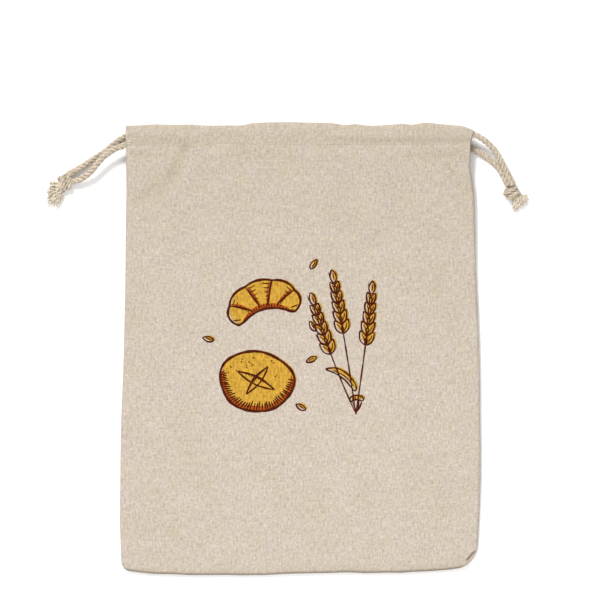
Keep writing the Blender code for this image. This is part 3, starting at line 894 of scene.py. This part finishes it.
def clothTintAndPaintedShade(x, y, front):
    # how yellow and how dark the cloth is painted at each point, most of it painted shade
    fromStitch = y - stitchLine(x, front)
    past = np.maximum(y - readTable(across, "bottom", x) - bagSpec["bottomFold"], 0)
    nearBottom = np.exp(-(past / bagSpec["bottomOver"]) ** 2)
    fromBand = (fromStitch - bagSpec["shadeTintAbove"]) / bagSpec["shadeTintOver"]
    # painted shade, yellowed: in the fold over the stitches, along the bottom and over the tunnel; and
    # yellower towards the top
    wear_and_painted_shade = bagSpec["stitchShadeTint"] * np.exp(-fromBand ** 2)
    wear_and_painted_shade += bagSpec["bottomShadeTint"] * nearBottom
    wear_and_painted_shade += bagSpec["hemShadeTint"] * smoothStep(fromStitch / bagSpec["hemShadeTintOver"])
    wear_and_painted_shade += bagSpec["upperYellower"] * smoothStep((y - bagSpec["upperYellowerFrom"]) / bagSpec["upperYellowerOver"])
    # painted shade along the bottom edge: a dark line, and a broader band that grows to the right
    rim = np.exp(-(past / bagSpec["rim"]) ** 2)
    grown = smoothStep((x - bagSpec["shadeFrom"]) / bagSpec["shadeOver"])
    shade = bagSpec["shadeLeft"] + bagSpec["shadeGrows"] * grown
    rim += bagSpec["bottomShade"] * nearBottom * shade
    if front:
        # painted shade in the creases, yellowed and darker
        inCrease = np.clip(creaseDepth(x, y), 0, 1)
        wear_and_painted_shade += inCrease
        rim += bagSpec["creaseShade"] * inCrease
        # a painted shadow line along the corner's fold
        past, beside = foldPlaces(x, y)
        line = np.exp(-(past / bagSpec["foldShade"]) ** 2) * bagSpec["foldDark"]
        rim = np.maximum(rim, beside * line)
    return {"wear_and_painted_shade": wear_and_painted_shade, "rim": rim}


def addPanel(name, node, front, step):
    grid = withAllowances(panelSection(acrossShares(step), step, front), front)
    points = grid.reshape(-1, 3)
    faces = gridFaces(*grid.shape[:2])
    if not front:
        faces = [face[::-1] for face in faces]
    panel = addPiece(name, points, faces, linenFinish, flatCut(grid))
    for label, values in clothTintAndPaintedShade(points[:, 0], points[:, 1], front).items():
        layer = panel.data.attributes.new(label, "FLOAT", "POINT")
        layer.data.foreach_set("value", values.astype(np.float32))
    cloth = panel.modifiers.new("cloth", "SOLIDIFY")
    cloth.thickness = bagSpec["cloth"] * mm
    cloth.offset = 0.0
    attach(panel, "root")
    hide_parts(node)
    return panel


addPanel("back_linen", "back_panel", False, 3.2)
frontLinen = addPanel("front_linen", "front_panel", True, 2.15)
print("panels made:", len(frontLinen.data.vertices), "points in the front")

depsgraph = bpy.context.evaluated_depsgraph_get()
frontSurface = BVHTree.FromObject(frontLinen.evaluated_get(depsgraph), depsgraph)


def onCloth(points, lift):
    # flat points in millimetres, laid on the front's outer face
    laid = []
    for x, y in points:
        hit, normal, _, _ = frontSurface.ray_cast(Vector((x * mm, y * mm, 0.05)), Vector((0, 0, -1)))
        laid.append(tuple(hit / mm + normal * lift))
    return laid


# The print: a croissant, a cob loaf and a bunch of wheat, in brown line over golden shapes
# that sit a little off register.
printSpec = {
    "outline": 2.0,
    "detail": 1.3,
    "fine": 0.95,
    "register": (1.6, 0.9),
    "goldLift": 0.05,
    "crustLift": 0.085,
    "brownLift": 0.12,
    "film": 0.05,
    "layer": 0.003,  # how far each shape lies above the one before it, and how many make a pile
    "layers": 11,
    "step": 0.9,
    "shapeStep": 1.5,  # for each step
    "waver": ((0.16, 3.1), (0.08, 1.3)),  # how much a line's width varies, and over what length
    "patchStep": 2.2,
    "croissant": {"at": (-30, 36), "turn": 14, "radius": 19.5, "half": 12.5, "span": 84, "wide": 1.2,
                  "grooveCrust": 2.4, "innerCrust": 3.4},
    "cob": {"at": (-36, -28), "turn": -8, "long": 31.0, "high": 25.0, "crust": 5.0},
    "bunch": {"at": (47, -55), "ears": ((-9, 104, 46), (8, 118, 50), (25, 98, 44)), "pairs": 5},
    "grain": 1.38,
    "loose": ((13, 14, 30), (14, -8, 115), (5, -52, 60), (-72, 6, 75), (9, 66, -35)),
}
printDice = random.Random(11)


def placed(points, at, turn):
    cos, sin = math.cos(math.radians(turn)), math.sin(math.radians(turn))
    x, y = np.asarray(points, float).T
    return np.stack([x * cos - y * sin + at[0], x * sin + y * cos + at[1]], axis=1)


class Print:
    # strokes of line and filled shapes, on flat millimetres of the bag's front
    def __init__(self):
        self.strokes, self.crusts, self.fills = [], [], []

    def move(self, at, turn):
        self.at, self.turn = at, turn

    def line(self, points, step, closed=False):
        return placed(smoothLine(points, printSpec["step"] * step, closed), self.at, self.turn)

    def stroke(self, points, pen, heavy=1.0, taper=0.45, closed=False):
        self.strokes.append((self.line(points, 1, closed), printSpec[pen] * heavy, closed, taper))

    def crust(self, points, width):
        self.crusts.append((self.line(points, 1), width, False, 0.1))

    def shape(self, points, pen, heavy=1.0):
        outline = self.line(points, printSpec["shapeStep"], True)[:-1]
        self.fills.append(outline + np.array(printSpec["register"]))
        self.stroke(points, pen, heavy, 1.0, True)


def drawCroissant(art):
    spec = printSpec["croissant"]
    art.move(spec["at"], spec["turn"])

    def edge(s, share):
        # share 1 is the outer edge, -1 the inner one
        half = spec["half"] * (1 - abs(s) ** 2.4) ** 0.8 + 0.7
        reach = spec["radius"] + share * half * (1.06 if share > 0 else 0.72)
        reach += max(share, 0) * 1.1 * abs(math.cos(math.pi * s * 2.5))
        angle = math.radians(spec["span"] * s)
        return reach * math.sin(angle) * spec["wide"], reach * math.cos(angle) - spec["radius"] * 0.7

    def groove(s, shift, first, last):
        return [edge(s * (1 - 0.22 * t) + shift, 1 - 1.72 * t) for t in np.linspace(first, last, 6)]

    outer = [edge(s, 1) for s in np.linspace(-1, 1, 31)]
    art.shape(outer + [edge(s, -1) for s in np.linspace(0.94, -0.94, 17)], "outline")
    for s in (-0.6, -0.2, 0.2, 0.6):
        inward = -1 if s > 0 else 1
        art.stroke(groove(s, 0.0, 0, 1), "outline", 0.85)
        for i in range(6):
            share = 0.82 - 0.24 * i
            near = s + 0.03 * inward
            far = s + (0.15 - 0.012 * i) * inward
            art.stroke([edge(near, share), edge((near + far) / 2, share - 0.05),
                        edge(far, share - 0.02)], "fine", taper=0.2)
        art.crust(groove(s, 0.03 * inward, 0.05, 0.95), spec["grooveCrust"])
    art.crust([edge(s, -0.72) for s in np.linspace(-0.9, 0.9, 15)], spec["innerCrust"])
    for s in (-0.88, 0.88):
        art.stroke([edge(s, 0.8), edge(s * 0.97, -0.2)], "fine")
    for s in np.linspace(-0.8, 0.8, 17):
        art.stroke([edge(s, -0.86), edge(s * 0.98, -0.6 + 0.12 * printDice.random())], "fine", taper=0.2)


def drawCob(art):
    spec = printSpec["cob"]
    art.move(spec["at"], spec["turn"])

    def rim(angle, share=1.0):
        reach = share * (1 + 0.025 * math.sin(3 * angle + 0.6) + 0.015 * math.sin(5 * angle))
        return spec["long"] * reach * math.cos(angle), spec["high"] * reach * math.sin(angle)

    art.shape([rim(a) for a in np.linspace(0, 2 * math.pi, 25)[:-1]], "outline", 1.1)
    art.crust([rim(math.radians(a), 0.93) for a in range(165, 386, 12)], spec["crust"])
    for a, b, half in (((-17, 6), (16, -5), 3.2), ((-7, -12), (8, 13.5), 2.9)):
        a, b = np.array(a, float), np.array(b, float)
        out = np.array((a[1] - b[1], b[0] - a[0])) / np.linalg.norm(b - a)
        for way, heavy in ((1, 1.0), (-1, 0.75)):
            art.stroke([a + (b - a) * t + out * way * half * math.sin(math.pi * t)
                        for t in np.linspace(0, 1, 9)], "outline", heavy)
        for t in np.linspace(0.16, 0.84, 12):
            reach = half * math.sin(math.pi * t)
            foot = a + (b - a) * t + out * reach * 0.92
            tip = foot - out * reach * (0.5 + 0.3 * printDice.random()) + (b - a) * 0.015
            art.stroke([foot, tip], "fine", taper=0.2)
    for degrees in range(170, 372, 5):
        angle = math.radians(degrees + 1.5 * printDice.random())
        deep = 0.82 - 0.12 * math.sin(math.radians(degrees - 170) * 0.9) * (0.6 + 0.8 * printDice.random())
        art.stroke([rim(angle, 0.975), rim(angle + 0.05, deep)], "detail", taper=0.2)
    for i in range(22):
        angle = math.radians(20 + 150 * printDice.random())
        x, y = rim(angle, 0.5 + 0.34 * printDice.random())
        art.stroke([(x, y), (x + 0.9, y + printDice.uniform(-0.7, 0.7))], "detail", taper=0.8)


grainOutline = ((0, 0), (1.7, 1.9), (2.2, 4.4), (1.5, 7.0), (0, 9.2), (-1.4, 7.0), (-2.1, 4.4),
                (-1.6, 1.9))
grainCrease = ((0.2, 2.0), (0.5, 4.6), (0.1, 7.0))


def drawGrain(art, at, turn, size=1.0):
    art.move(at, turn)
    art.shape(np.array(grainOutline) * size, "detail")
    art.stroke(np.array(grainCrease) * size, "fine")


def drawBunch(art):
    spec, grain = printSpec["bunch"], printSpec["grain"]
    for turn, tall, ear in spec["ears"]:
        bend = 7 if turn > 15 else -3

        def stem(t):
            return (bend * t * t, tall * t)

        art.move(spec["at"], turn)
        art.stroke([stem(t) for t in np.linspace(0, 1 - 0.75 * ear / tall, 7)], "detail")
        for i in range(spec["pairs"]):
            t = 1 - (ear - 6.2 * grain * i) / tall
            size = grain * (0.98 - 0.05 * i)
            foot = placed([stem(t)], spec["at"], turn)[0]
            for way in (1, -1):
                tilt = turn - way * (27 - 2 * i) - math.degrees(2 * bend * t / tall)
                drawGrain(art, foot, tilt, size)
                art.move(foot, tilt + way * 9)
                tip = 9.2 * size
                art.stroke([(0, tip), (0.4 * way, tip + 4.5), (-0.3 * way, tip + 8.5)], "fine", 0.85, 0.15)
        foot = placed([stem(1 - (ear - 6.2 * grain * spec["pairs"]) / tall)], spec["at"], turn)[0]
        drawGrain(art, foot, turn - math.degrees(2 * bend / tall), 0.85 * grain)
    art.move(spec["at"], 0)
    art.shape(((0, 24), (-7, 33), (-16, 38), (-25, 37), (-18, 34), (-9, 28), (-1, 19)), "detail")
    art.stroke([(-2, 23), (-9, 31), (-19, 36)], "fine")
    art.shape(((-4.5, 13.5), (0.5, 15.2), (5.6, 13.9), (5.9, 10.6), (0.6, 11.6), (-4.4, 10.1)), "detail")
    for x in (-2.6, -0.6, 1.4, 3.4):
        art.stroke([(x, 11.4), (x + 0.5, 14.2)], "fine")
    for turn, tall in ((-16, 13), (14, 12), (27, 10)):
        art.move(spec["at"], -turn)
        art.stroke([(0, 11), (0.6, 5), (0, 12 - tall)], "detail")


def insideOf(points, outline):
    inside = np.zeros(len(points), bool)
    for a, b in zip(outline, np.roll(outline, -1, axis=0)):
        crosses = (a[1] > points[:, 1]) != (b[1] > points[:, 1])
        with np.errstate(divide="ignore", invalid="ignore"):
            at = (b[0] - a[0]) * (points[:, 1] - a[1]) / (b[1] - a[1]) + a[0]
        inside ^= crosses & (points[:, 0] < at)
    return inside


def patch(outline):
    # a filled shape with points inside it too, so that it can lie on uneven cloth
    step = printSpec["patchStep"]
    grid = np.stack(np.meshgrid(*(np.arange(low, high, step) for low, high
                                  in zip(outline.min(0), outline.max(0)))), -1).reshape(-1, 2)
    grid = grid[insideOf(grid, outline)]
    far = np.linalg.norm(grid[:, None] - outline[None], axis=2).min(axis=1)
    points = [Vector(p) for p in (*outline, *grid[far > step * 0.4])]
    edges = [(i, (i + 1) % len(outline)) for i in range(len(outline))]
    verts, _, faces, *_ = delaunay_2d_cdt(points, edges, [], 1, 1e-5)
    return [tuple(v) for v in verts], [list(f) for f in faces]


def ribbon(line, width, closed, taper):
    # a flat stroke along the line, whose width wavers as a hand-cut one does
    if closed:
        line = line[:-1]
        tangents = np.roll(line, -1, axis=0) - np.roll(line, 1, axis=0)
    else:
        tangents = np.gradient(line, axis=0)
    tangents /= np.maximum(np.linalg.norm(tangents, axis=1), 1e-9)[:, None]
    out = np.stack([-tangents[:, 1], tangents[:, 0]], axis=1)
    n = len(line)
    along = np.arange(n) * printSpec["step"]
    phase = printDice.uniform(0, 6.3)
    wavering = 1.0
    for share, length in printSpec["waver"]:
        wavering = wavering + share * np.sin(along / length + phase)
    half = width / 2 * wavering
    if not closed:
        t = np.linspace(0, 1, n)
        half *= taper + (1 - taper) * np.sqrt(np.clip(4 * t * (1 - t), 0, 1))
    verts = np.concatenate([line + out * half[:, None], line - out * half[:, None]])
    faces = [[i, n + i, n + (i + 1) % n, (i + 1) % n] for i in range(n if closed else n - 1)]
    return [tuple(v) for v in verts], faces


def printPiece(name, shapes, lift, finish):
    # overlapping shapes lie a hair above each other
    verts, faces, flat = [], [], []
    for k, (points, polygons) in enumerate(shapes):
        base = len(verts)
        verts += onCloth(points, lift + printSpec["layer"] * (k % printSpec["layers"]))
        flat += points
        faces += [[base + i for i in polygon] for polygon in polygons]
    piece = addPiece(name, verts, faces, finish, flat)
    film = piece.modifiers.new("film", "SOLIDIFY")
    film.thickness = printSpec["film"] * mm
    film.offset = -1.0
    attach(piece, "root")


def addPrint():
    art = Print()
    drawCroissant(art)
    drawCob(art)
    drawBunch(art)
    for x, y, turn in printSpec["loose"]:
        drawGrain(art, (x, y), turn)
    printPiece("print_gold", [patch(fill) for fill in art.fills], printSpec["goldLift"], goldInk)
    printPiece("print_brown", [ribbon(*line) for line in art.strokes], printSpec["brownLift"], brownInk)
    printPiece("print_crust", [ribbon(*line) for line in art.crusts], printSpec["crustLift"], crustInk)


addPrint()
print("print laid on the cloth")


# The drawcords' hidden runs, through both tunnels and round the far side.
drawcords = {
    "drawcord_left": {"side": -1, "frontUp": 176.4, "turnUp": 175.4, "backUp": 177.6, "turn": 139.2},
    "drawcord_right": {"side": 1, "frontUp": 181.2, "turnUp": 181.2, "backUp": 170.5, "turn": 140.6},
}
hiddenSpec = {
    "start": 126.0,
    "short": 8.0,  # how far before its turn the straight run ends
    "points": 16,
    "overHem": 2.9,
    "backHeight": 3.4,
    # the turn's points, from its middle outwards: how far short of it, how far in height from
    # their own run, and their part of the way to the other run
    "bend": ((0.6, 3.4, 0.15), (3.4, 0.9, 0.0)),
}


def hiddenLine(side, frontUp, turnUp, backUp, turn):
    places = side * np.linspace(hiddenSpec["start"], hiddenSpec["short"] - turn, hiddenSpec["points"])
    front = [(p, frontUp, float(hemHeight(p)) + hiddenSpec["overHem"]) for p in places]
    high, low = front[-1][2], hiddenSpec["backHeight"]
    front[-1] = (places[-1], turnUp, high)
    bend = [(-side * turn, (turnUp + backUp) / 2, (high + low) / 2)]
    for short, drop, share in hiddenSpec["bend"]:
        x, lean = -side * (turn - short), (backUp - turnUp) * share
        bend = [(x, turnUp + lean, high - drop)] + bend + [(x, backUp - lean, low + drop)]
    return smoothLine(front + bend + [(p, backUp, low) for p in places[::-1]], cordSpec["heldStep"])


for cordName, places in drawcords.items():
    held = addRope(cordName + "_rope", hiddenLine(**places), cordSpec["heldDiameter"],
                   cordSpec["heldStart"], cordSpec["heldSides"])
    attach(held, "root")
    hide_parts(cordName)
print("hidden cords made")


# Knots: two turns of cord round both ends, and the loose tuft of yarns that comes out of them.
knotSpec = {
    "knot_left": {
        "centre": (-196.1, 138.5, 4.9), "along": -79, "long": 5.2, "high": 2.5, "turns": 2.0,
        "advance": 4.1, "cord": 4.4, "start": 200, "root": (-199.0, 137.0, 4.6),
        "tips": ((-209.6, 137.6, 3.2), (-211.2, 131.6, 3.8), (-211.6, 125.0, 3.6),
                 (-209.4, 118.8, 3.0), (-205.0, 116.4, 2.8), (-201.8, 120.6, 3.8),
                 (-201.0, 127.0, 4.6)),
        "bow": 1.4},
    "knot_right": {
        "centre": (177.2, 130.6, 5.4), "along": 40, "long": 4.8, "high": 2.8, "turns": 2.0,
        "advance": 4.2, "cord": 4.4, "start": 20, "root": (180.0, 126.8, 4.8),
        "tips": ((191.0, 128.8, 3.2), (191.6, 124.4, 3.8), (189.0, 119.8, 4.6),
                 (185.6, 116.8, 4.2), (182.0, 114.6, 3.4), (178.6, 118.0, 3.0)),
        "bow": 0.75},
}
tuftSpec = {
    "yarns": 60,
    "radius": (0.46, 0.62),
    "tipRadius": 0.5,
    "sides": 6,
    "step": 0.7,
    "rootScatter": 0.7,
    "tipStep": 0.5,
    "scatter": 0.75,
    "short": 0.72,  # the shortest yarn's part of the way to its tip
    "sideways": (1.0, 1.0, 0.6),  # how much a yarn's bow is let go each way
    "wave": 0.95,
    "waveLength": 4.8,
    "straightens": 1.3,  # the wave is gone at 1 / 1.3 of the way
    "lift": 0.05,  # the least gap under a yarn
    "hairs": 9,
    "hairLength": 2.0,
    "hairShort": 0.35,
    "hairRadius": 0.08,
    "hairTip": 0.4,
    "hairLean": 0.55,
    "hairBend": 0.5,
    "hairPoints": 4,
    "hairSides": 3,
    "hairLowest": 0.12,
}
tuftDice = random.Random(5)


def wrapLine(spec):
    # turns of an oval coil round the two cord ends
    u = math.radians(spec["along"])
    t = np.linspace(0, 1, round(cordSpec["turnPoints"] * spec["turns"]))[:, None]
    angle = math.radians(spec["start"]) + 2 * math.pi * spec["turns"] * t
    gone = spec["advance"] * spec["turns"] * (t - 0.5)
    line = np.array(spec["centre"]) + gone * np.array((-math.sin(u), math.cos(u), 0.0)) \
        + np.cos(angle) * spec["long"] * np.array((math.cos(u), math.sin(u), 0.0)) \
        + np.sin(angle) * spec["high"] * np.array((0.0, 0.0, 1.0))
    return evenly(line, cordSpec["step"])


def looseVector(size):
    return np.array([tuftDice.gauss(0, size) for _ in range(3)])


def addYarn(soft, root, tip, bow):
    # one yarn of the tuft, crimped from its time in the cord, and the hairs that stand off it
    start = root + looseVector(tuftSpec["rootScatter"])
    end = root + (tip - root) * tuftDice.uniform(tuftSpec["short"], 1.0) + looseVector(tuftSpec["scatter"])
    run = end - start
    reach = np.linalg.norm(run)
    side = np.cross(run, (0.0, 0.0, 1.0))
    side /= np.linalg.norm(side)
    away = looseVector(1.0) * np.array(tuftSpec["sideways"])
    t = np.linspace(0, 1, max(8, round(reach / tuftSpec["step"])))[:, None]
    turn = 2 * math.pi * t * reach / tuftSpec["waveLength"] + tuftDice.uniform(0, 6.3)
    crimp = tuftSpec["wave"] * np.sin(math.pi * np.clip(t * tuftSpec["straightens"], 0, 1))
    line = start + run * t + away * bow * np.sin(math.pi * t) \
        + crimp * (side * np.sin(turn) + np.array((0.0, 0.0, 1.0)) * np.cos(turn))
    thick = tuftDice.uniform(*tuftSpec["radius"])
    line[:, 2] = np.maximum(line[:, 2], thick + tuftSpec["lift"])
    soft.tube(line, np.linspace(thick, tuftSpec["tipRadius"], len(line)), tuftSpec["sides"])
    for _ in range(tuftSpec["hairs"]):
        at = line[tuftDice.randrange(len(line) // 3, len(line))]
        go = run / reach + looseVector(tuftSpec["hairLean"])
        go /= np.linalg.norm(go)
        bend = looseVector(tuftSpec["hairBend"])
        far = tuftSpec["hairLength"] * tuftDice.uniform(tuftSpec["hairShort"], 1.0)
        points = tuftSpec["hairPoints"]
        hair = np.array([at + go * far * s + bend * s * s for s in np.linspace(0, 1, points)])
        hair[:, 2] = np.maximum(hair[:, 2], tuftSpec["hairLowest"])
        radii = np.linspace(1, tuftSpec["hairTip"], points) * tuftSpec["hairRadius"]
        soft.tube(hair, radii, tuftSpec["hairSides"])


def addKnot(name):
    spec = knotSpec[name]
    wrap = addRope(name + "_wrap", wrapLine(spec), spec["cord"], cordSpec["wrapStart"])
    tuft = Soft()
    rim = smoothLine(spec["tips"], tuftSpec["tipStep"])
    for _ in range(tuftSpec["yarns"]):
        addYarn(tuft, np.array(spec["root"]), rim[tuftDice.randrange(len(rim))], spec["bow"])
    tail = tuft.piece(name + "_tuft", tuftFinish)
    for piece in (wrap, tail):
        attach(piece, "root")
        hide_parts(name)
    return [wrap, tail]


for side in ("left", "right"):
    knot = addKnot("knot_" + side)
    for layer in ("front", "back"):
        declareCord(f"cord_{side}_{layer}")
print("knots made")


def newTree(name, **sizes):
    # a Geometry Nodes tree with a geometry in and out, and a named input for each size
    tree = bpy.data.node_groups.new(name, "GeometryNodeTree")
    for way in ("INPUT", "OUTPUT"):
        tree.interface.new_socket("Geometry", in_out=way, socket_type="NodeSocketGeometry")
    for label, value in sizes.items():
        kind = "NodeSocketInt" if isinstance(value, int) else "NodeSocketFloat"
        tree.interface.new_socket(label, in_out="INPUT", socket_type=kind).default_value = value
    return tree, tree.nodes.new("NodeGroupInput").outputs


def endTree(tree, points, shape, turned, uneven, finish):
    # the shape on every point, as one mesh in its finish
    copies = addNode(tree, "GeometryNodeInstanceOnPoints",
                     {"Points": points, "Instance": shape, "Rotation": turned, "Scale": uneven})
    realized = addNode(tree, "GeometryNodeRealizeInstances", {0: copies})
    coloured = addNode(tree, "GeometryNodeSetMaterial", {"Geometry": realized, "Material": finish})
    addNode(tree, "NodeGroupOutput", {0: coloured})
    return tree


def bentTube(tree, ends, thick, resolution, sides):
    # a round thread on a bow from its start over its middle to its end
    bow = addNode(tree, "GeometryNodeCurveQuadraticBezier", {"Resolution": resolution, **ends})
    half = addNode(tree, "ShaderNodeMath", {0: thick, 1: 0.5}, operation="MULTIPLY")
    ring = addNode(tree, "GeometryNodeCurvePrimitiveCircle", {"Resolution": sides, "Radius": half})
    return addNode(tree, "GeometryNodeCurveToMesh",
                   {"Curve": bow, "Profile Curve": ring, "Fill Caps": True})


def grow(name, source, tree, sizes, finish):
    # run the tree on the source, and keep its result as a plain mesh
    grower = source.modifiers.new("grow", "NODES")
    grower.node_group = tree
    for item in tree.interface.items_tree:
        if item.in_out == "INPUT" and item.name in sizes:
            grower[item.identifier] = sizes[item.name]
    grown = source.evaluated_get(bpy.context.evaluated_depsgraph_get())
    mesh = bpy.data.meshes.new_from_object(grown)
    source.modifiers.remove(grower)
    bpy.data.objects.remove(source)
    mesh.name = name
    mesh.materials.clear()
    mesh.materials.append(finish)
    mesh.shade_smooth()
    piece = newObject(name, mesh)
    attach(piece, "root")
    return piece


# Lockstitches that close the tunnels.
stitchSpec = {
    "pitch": 2.9,
    "length": 2.5,
    "thread": 0.38,
    "sides": (-141.0, 140.0),  # where the rows begin and end
    "uneven": ((0.9, 0.85, 0.8), (1.05, 1.15, 1.1)),  # least and greatest scale
    # how far a stitch's middle and ends stand above its line
    "front": {"Arch": 0.5, "Ends": -0.2},
    "back": {"Arch": -0.15, "Ends": 0.25},
    "backHeight": 0.26,
}


def stitchTree():
    # one arched stitch for each step of the line, turned along it
    tree, size = newTree("stitches along a line", Pitch=0.003, Length=0.0025, Arch=0.0005,
                         Ends=-0.0002, Thread=0.0004, Seed=3)
    line = addNode(tree, "GeometryNodeMeshToCurve", {0: size["Geometry"]})
    steps = addNode(tree, "GeometryNodeResampleCurve", {"Curve": line, "Length": size["Pitch"]},
                    mode="LENGTH")
    half, back = (addNode(tree, "ShaderNodeMath", {0: size["Length"], 1: share}, operation="MULTIPLY")
                  for share in (0.5, -0.5))
    start, crown, end = (addNode(tree, "ShaderNodeCombineXYZ", place) for place in (
        {"X": back, "Z": size["Ends"]}, {"Z": size["Arch"]}, {"X": half, "Z": size["Ends"]}))
    stitch = bentTube(tree, {"Start": start, "Middle": crown, "End": end}, size["Thread"], 6, 6)
    along = addNode(tree, "GeometryNodeInputTangent")
    turned = addNode(tree, "FunctionNodeAlignRotationToVector", {"Vector": along}, axis="X")
    least, most = stitchSpec["uneven"]
    uneven = addNode(tree, "FunctionNodeRandomValue", {0: least, 1: most, "Seed": size["Seed"]},
                     data_type="FLOAT_VECTOR")
    return endTree(tree, steps, stitch, turned, uneven, threadFinish)


def addStitches():
    places = np.arange(*stitchSpec["sides"], 1.0)
    tree = stitchTree()
    lines = {
        "front": onCloth(zip(places, stitchLine(places, True)), 0.0),
        "back": [(x, y, stitchSpec["backHeight"]) for x, y in zip(places, stitchLine(places, False))],
    }
    for side, points in lines.items():
        name = side + "_stitches"
        mesh = bpy.data.meshes.new(name)
        mesh.from_pydata((np.array(points) * mm).tolist(), [(i, i + 1) for i in range(len(points) - 1)], [])
        sizes = {"Pitch": stitchSpec["pitch"], "Length": stitchSpec["length"],
                 "Thread": stitchSpec["thread"], **stitchSpec[side]}
        grow(name, newObject(name + "_line", mesh), tree,
             {key: size * mm for key, size in sizes.items()}, threadFinish)


addStitches()
print("tunnels stitched")


# Fibres that stand off the cords.
fuzzSpec = {
    "perSquareMillimetre": 0.55,
    "length": 1.7,
    "bend": 0.7,
    "fibre": 0.10,
    "tilt": 0.9,
    "elbow": 0.6,  # where a fibre bends, for its length
    "uneven": ((0.4, 0.4, 0.3), (1.0, 1.0, 1.0)),
    "outside": 140.0,  # nearer the middle than this, a tunnel hides the cord
    "lowest": 0.1,
}


def fuzzTree():
    # short bent fibres, sown on the faces and leaning at random
    tree, size = newTree("fibres on a surface", Density=500000.0, Length=0.0016, Bend=0.0007,
                         Fibre=0.0001, Tilt=0.9, Seed=7)
    sown = addNode(tree, "GeometryNodeDistributePointsOnFaces",
                   {"Mesh": size["Geometry"], "Density": size["Density"], "Seed": size["Seed"]})
    upper, lower = (addNode(tree, "ShaderNodeMath", {0: size[label], 1: share}, operation="MULTIPLY")
                    for label, share in (("Length", fuzzSpec["elbow"]), ("Tilt", -1.0)))
    elbow, tip, low, high = (addNode(tree, "ShaderNodeCombineXYZ", place) for place in (
        {"Z": upper}, {"X": size["Bend"], "Z": size["Length"]},
        {"X": lower, "Y": lower, "Z": -math.pi}, {"X": size["Tilt"], "Y": size["Tilt"], "Z": math.pi}))
    fibre = bentTube(tree, {"Start": (0, 0, 0), "Middle": elbow, "End": tip}, size["Fibre"], 4, 3)
    lean, uneven = (addNode(tree, "FunctionNodeRandomValue", {0: least, 1: most, "Seed": size["Seed"]},
                            data_type="FLOAT_VECTOR")
                    for least, most in ((low, high), fuzzSpec["uneven"]))
    leaning = addNode(tree, "FunctionNodeEulerToRotation", {0: lean})
    turned = addNode(tree, "FunctionNodeRotateRotation", {0: sown.outputs["Rotation"], 1: leaning},
                     rotation_space="LOCAL")
    return endTree(tree, sown, fibre, turned, uneven, fibreFinish)


def addFuzz():
    gathered = bmesh.new()
    for name in [cord + "_rope" for cord in cordRoutes] + [knot + "_wrap" for knot in knotSpec]:
        gathered.from_mesh(bpy.data.objects[name].data)
    hidden = [face for face in gathered.faces
              if abs(face.calc_center_median().x) < fuzzSpec["outside"] * mm]
    bmesh.ops.delete(gathered, geom=hidden, context="FACES")
    mesh = bpy.data.meshes.new("cords gathered")
    gathered.to_mesh(mesh)
    gathered.free()
    sizes = {"Density": fuzzSpec["perSquareMillimetre"] / mm ** 2, "Tilt": fuzzSpec["tilt"],
             "Length": fuzzSpec["length"] * mm, "Bend": fuzzSpec["bend"] * mm,
             "Fibre": fuzzSpec["fibre"] * mm}
    fuzz = grow("cord_fuzz", newObject("cords gathered", mesh), fuzzTree(), sizes, fibreFinish)
    for vertex in fuzz.data.vertices:
        vertex.co.z = max(vertex.co.z, fuzzSpec["lowest"] * mm)


addFuzz()
print("cords fuzzed")


far = lightSpec["floorSize"] / 2
floor = addPiece("floor", [(-far, -far, 0), (far, -far, 0), (far, far, 0), (-far, far, 0)],
                 [(0, 1, 2, 3)], paperFinish, smooth=False)
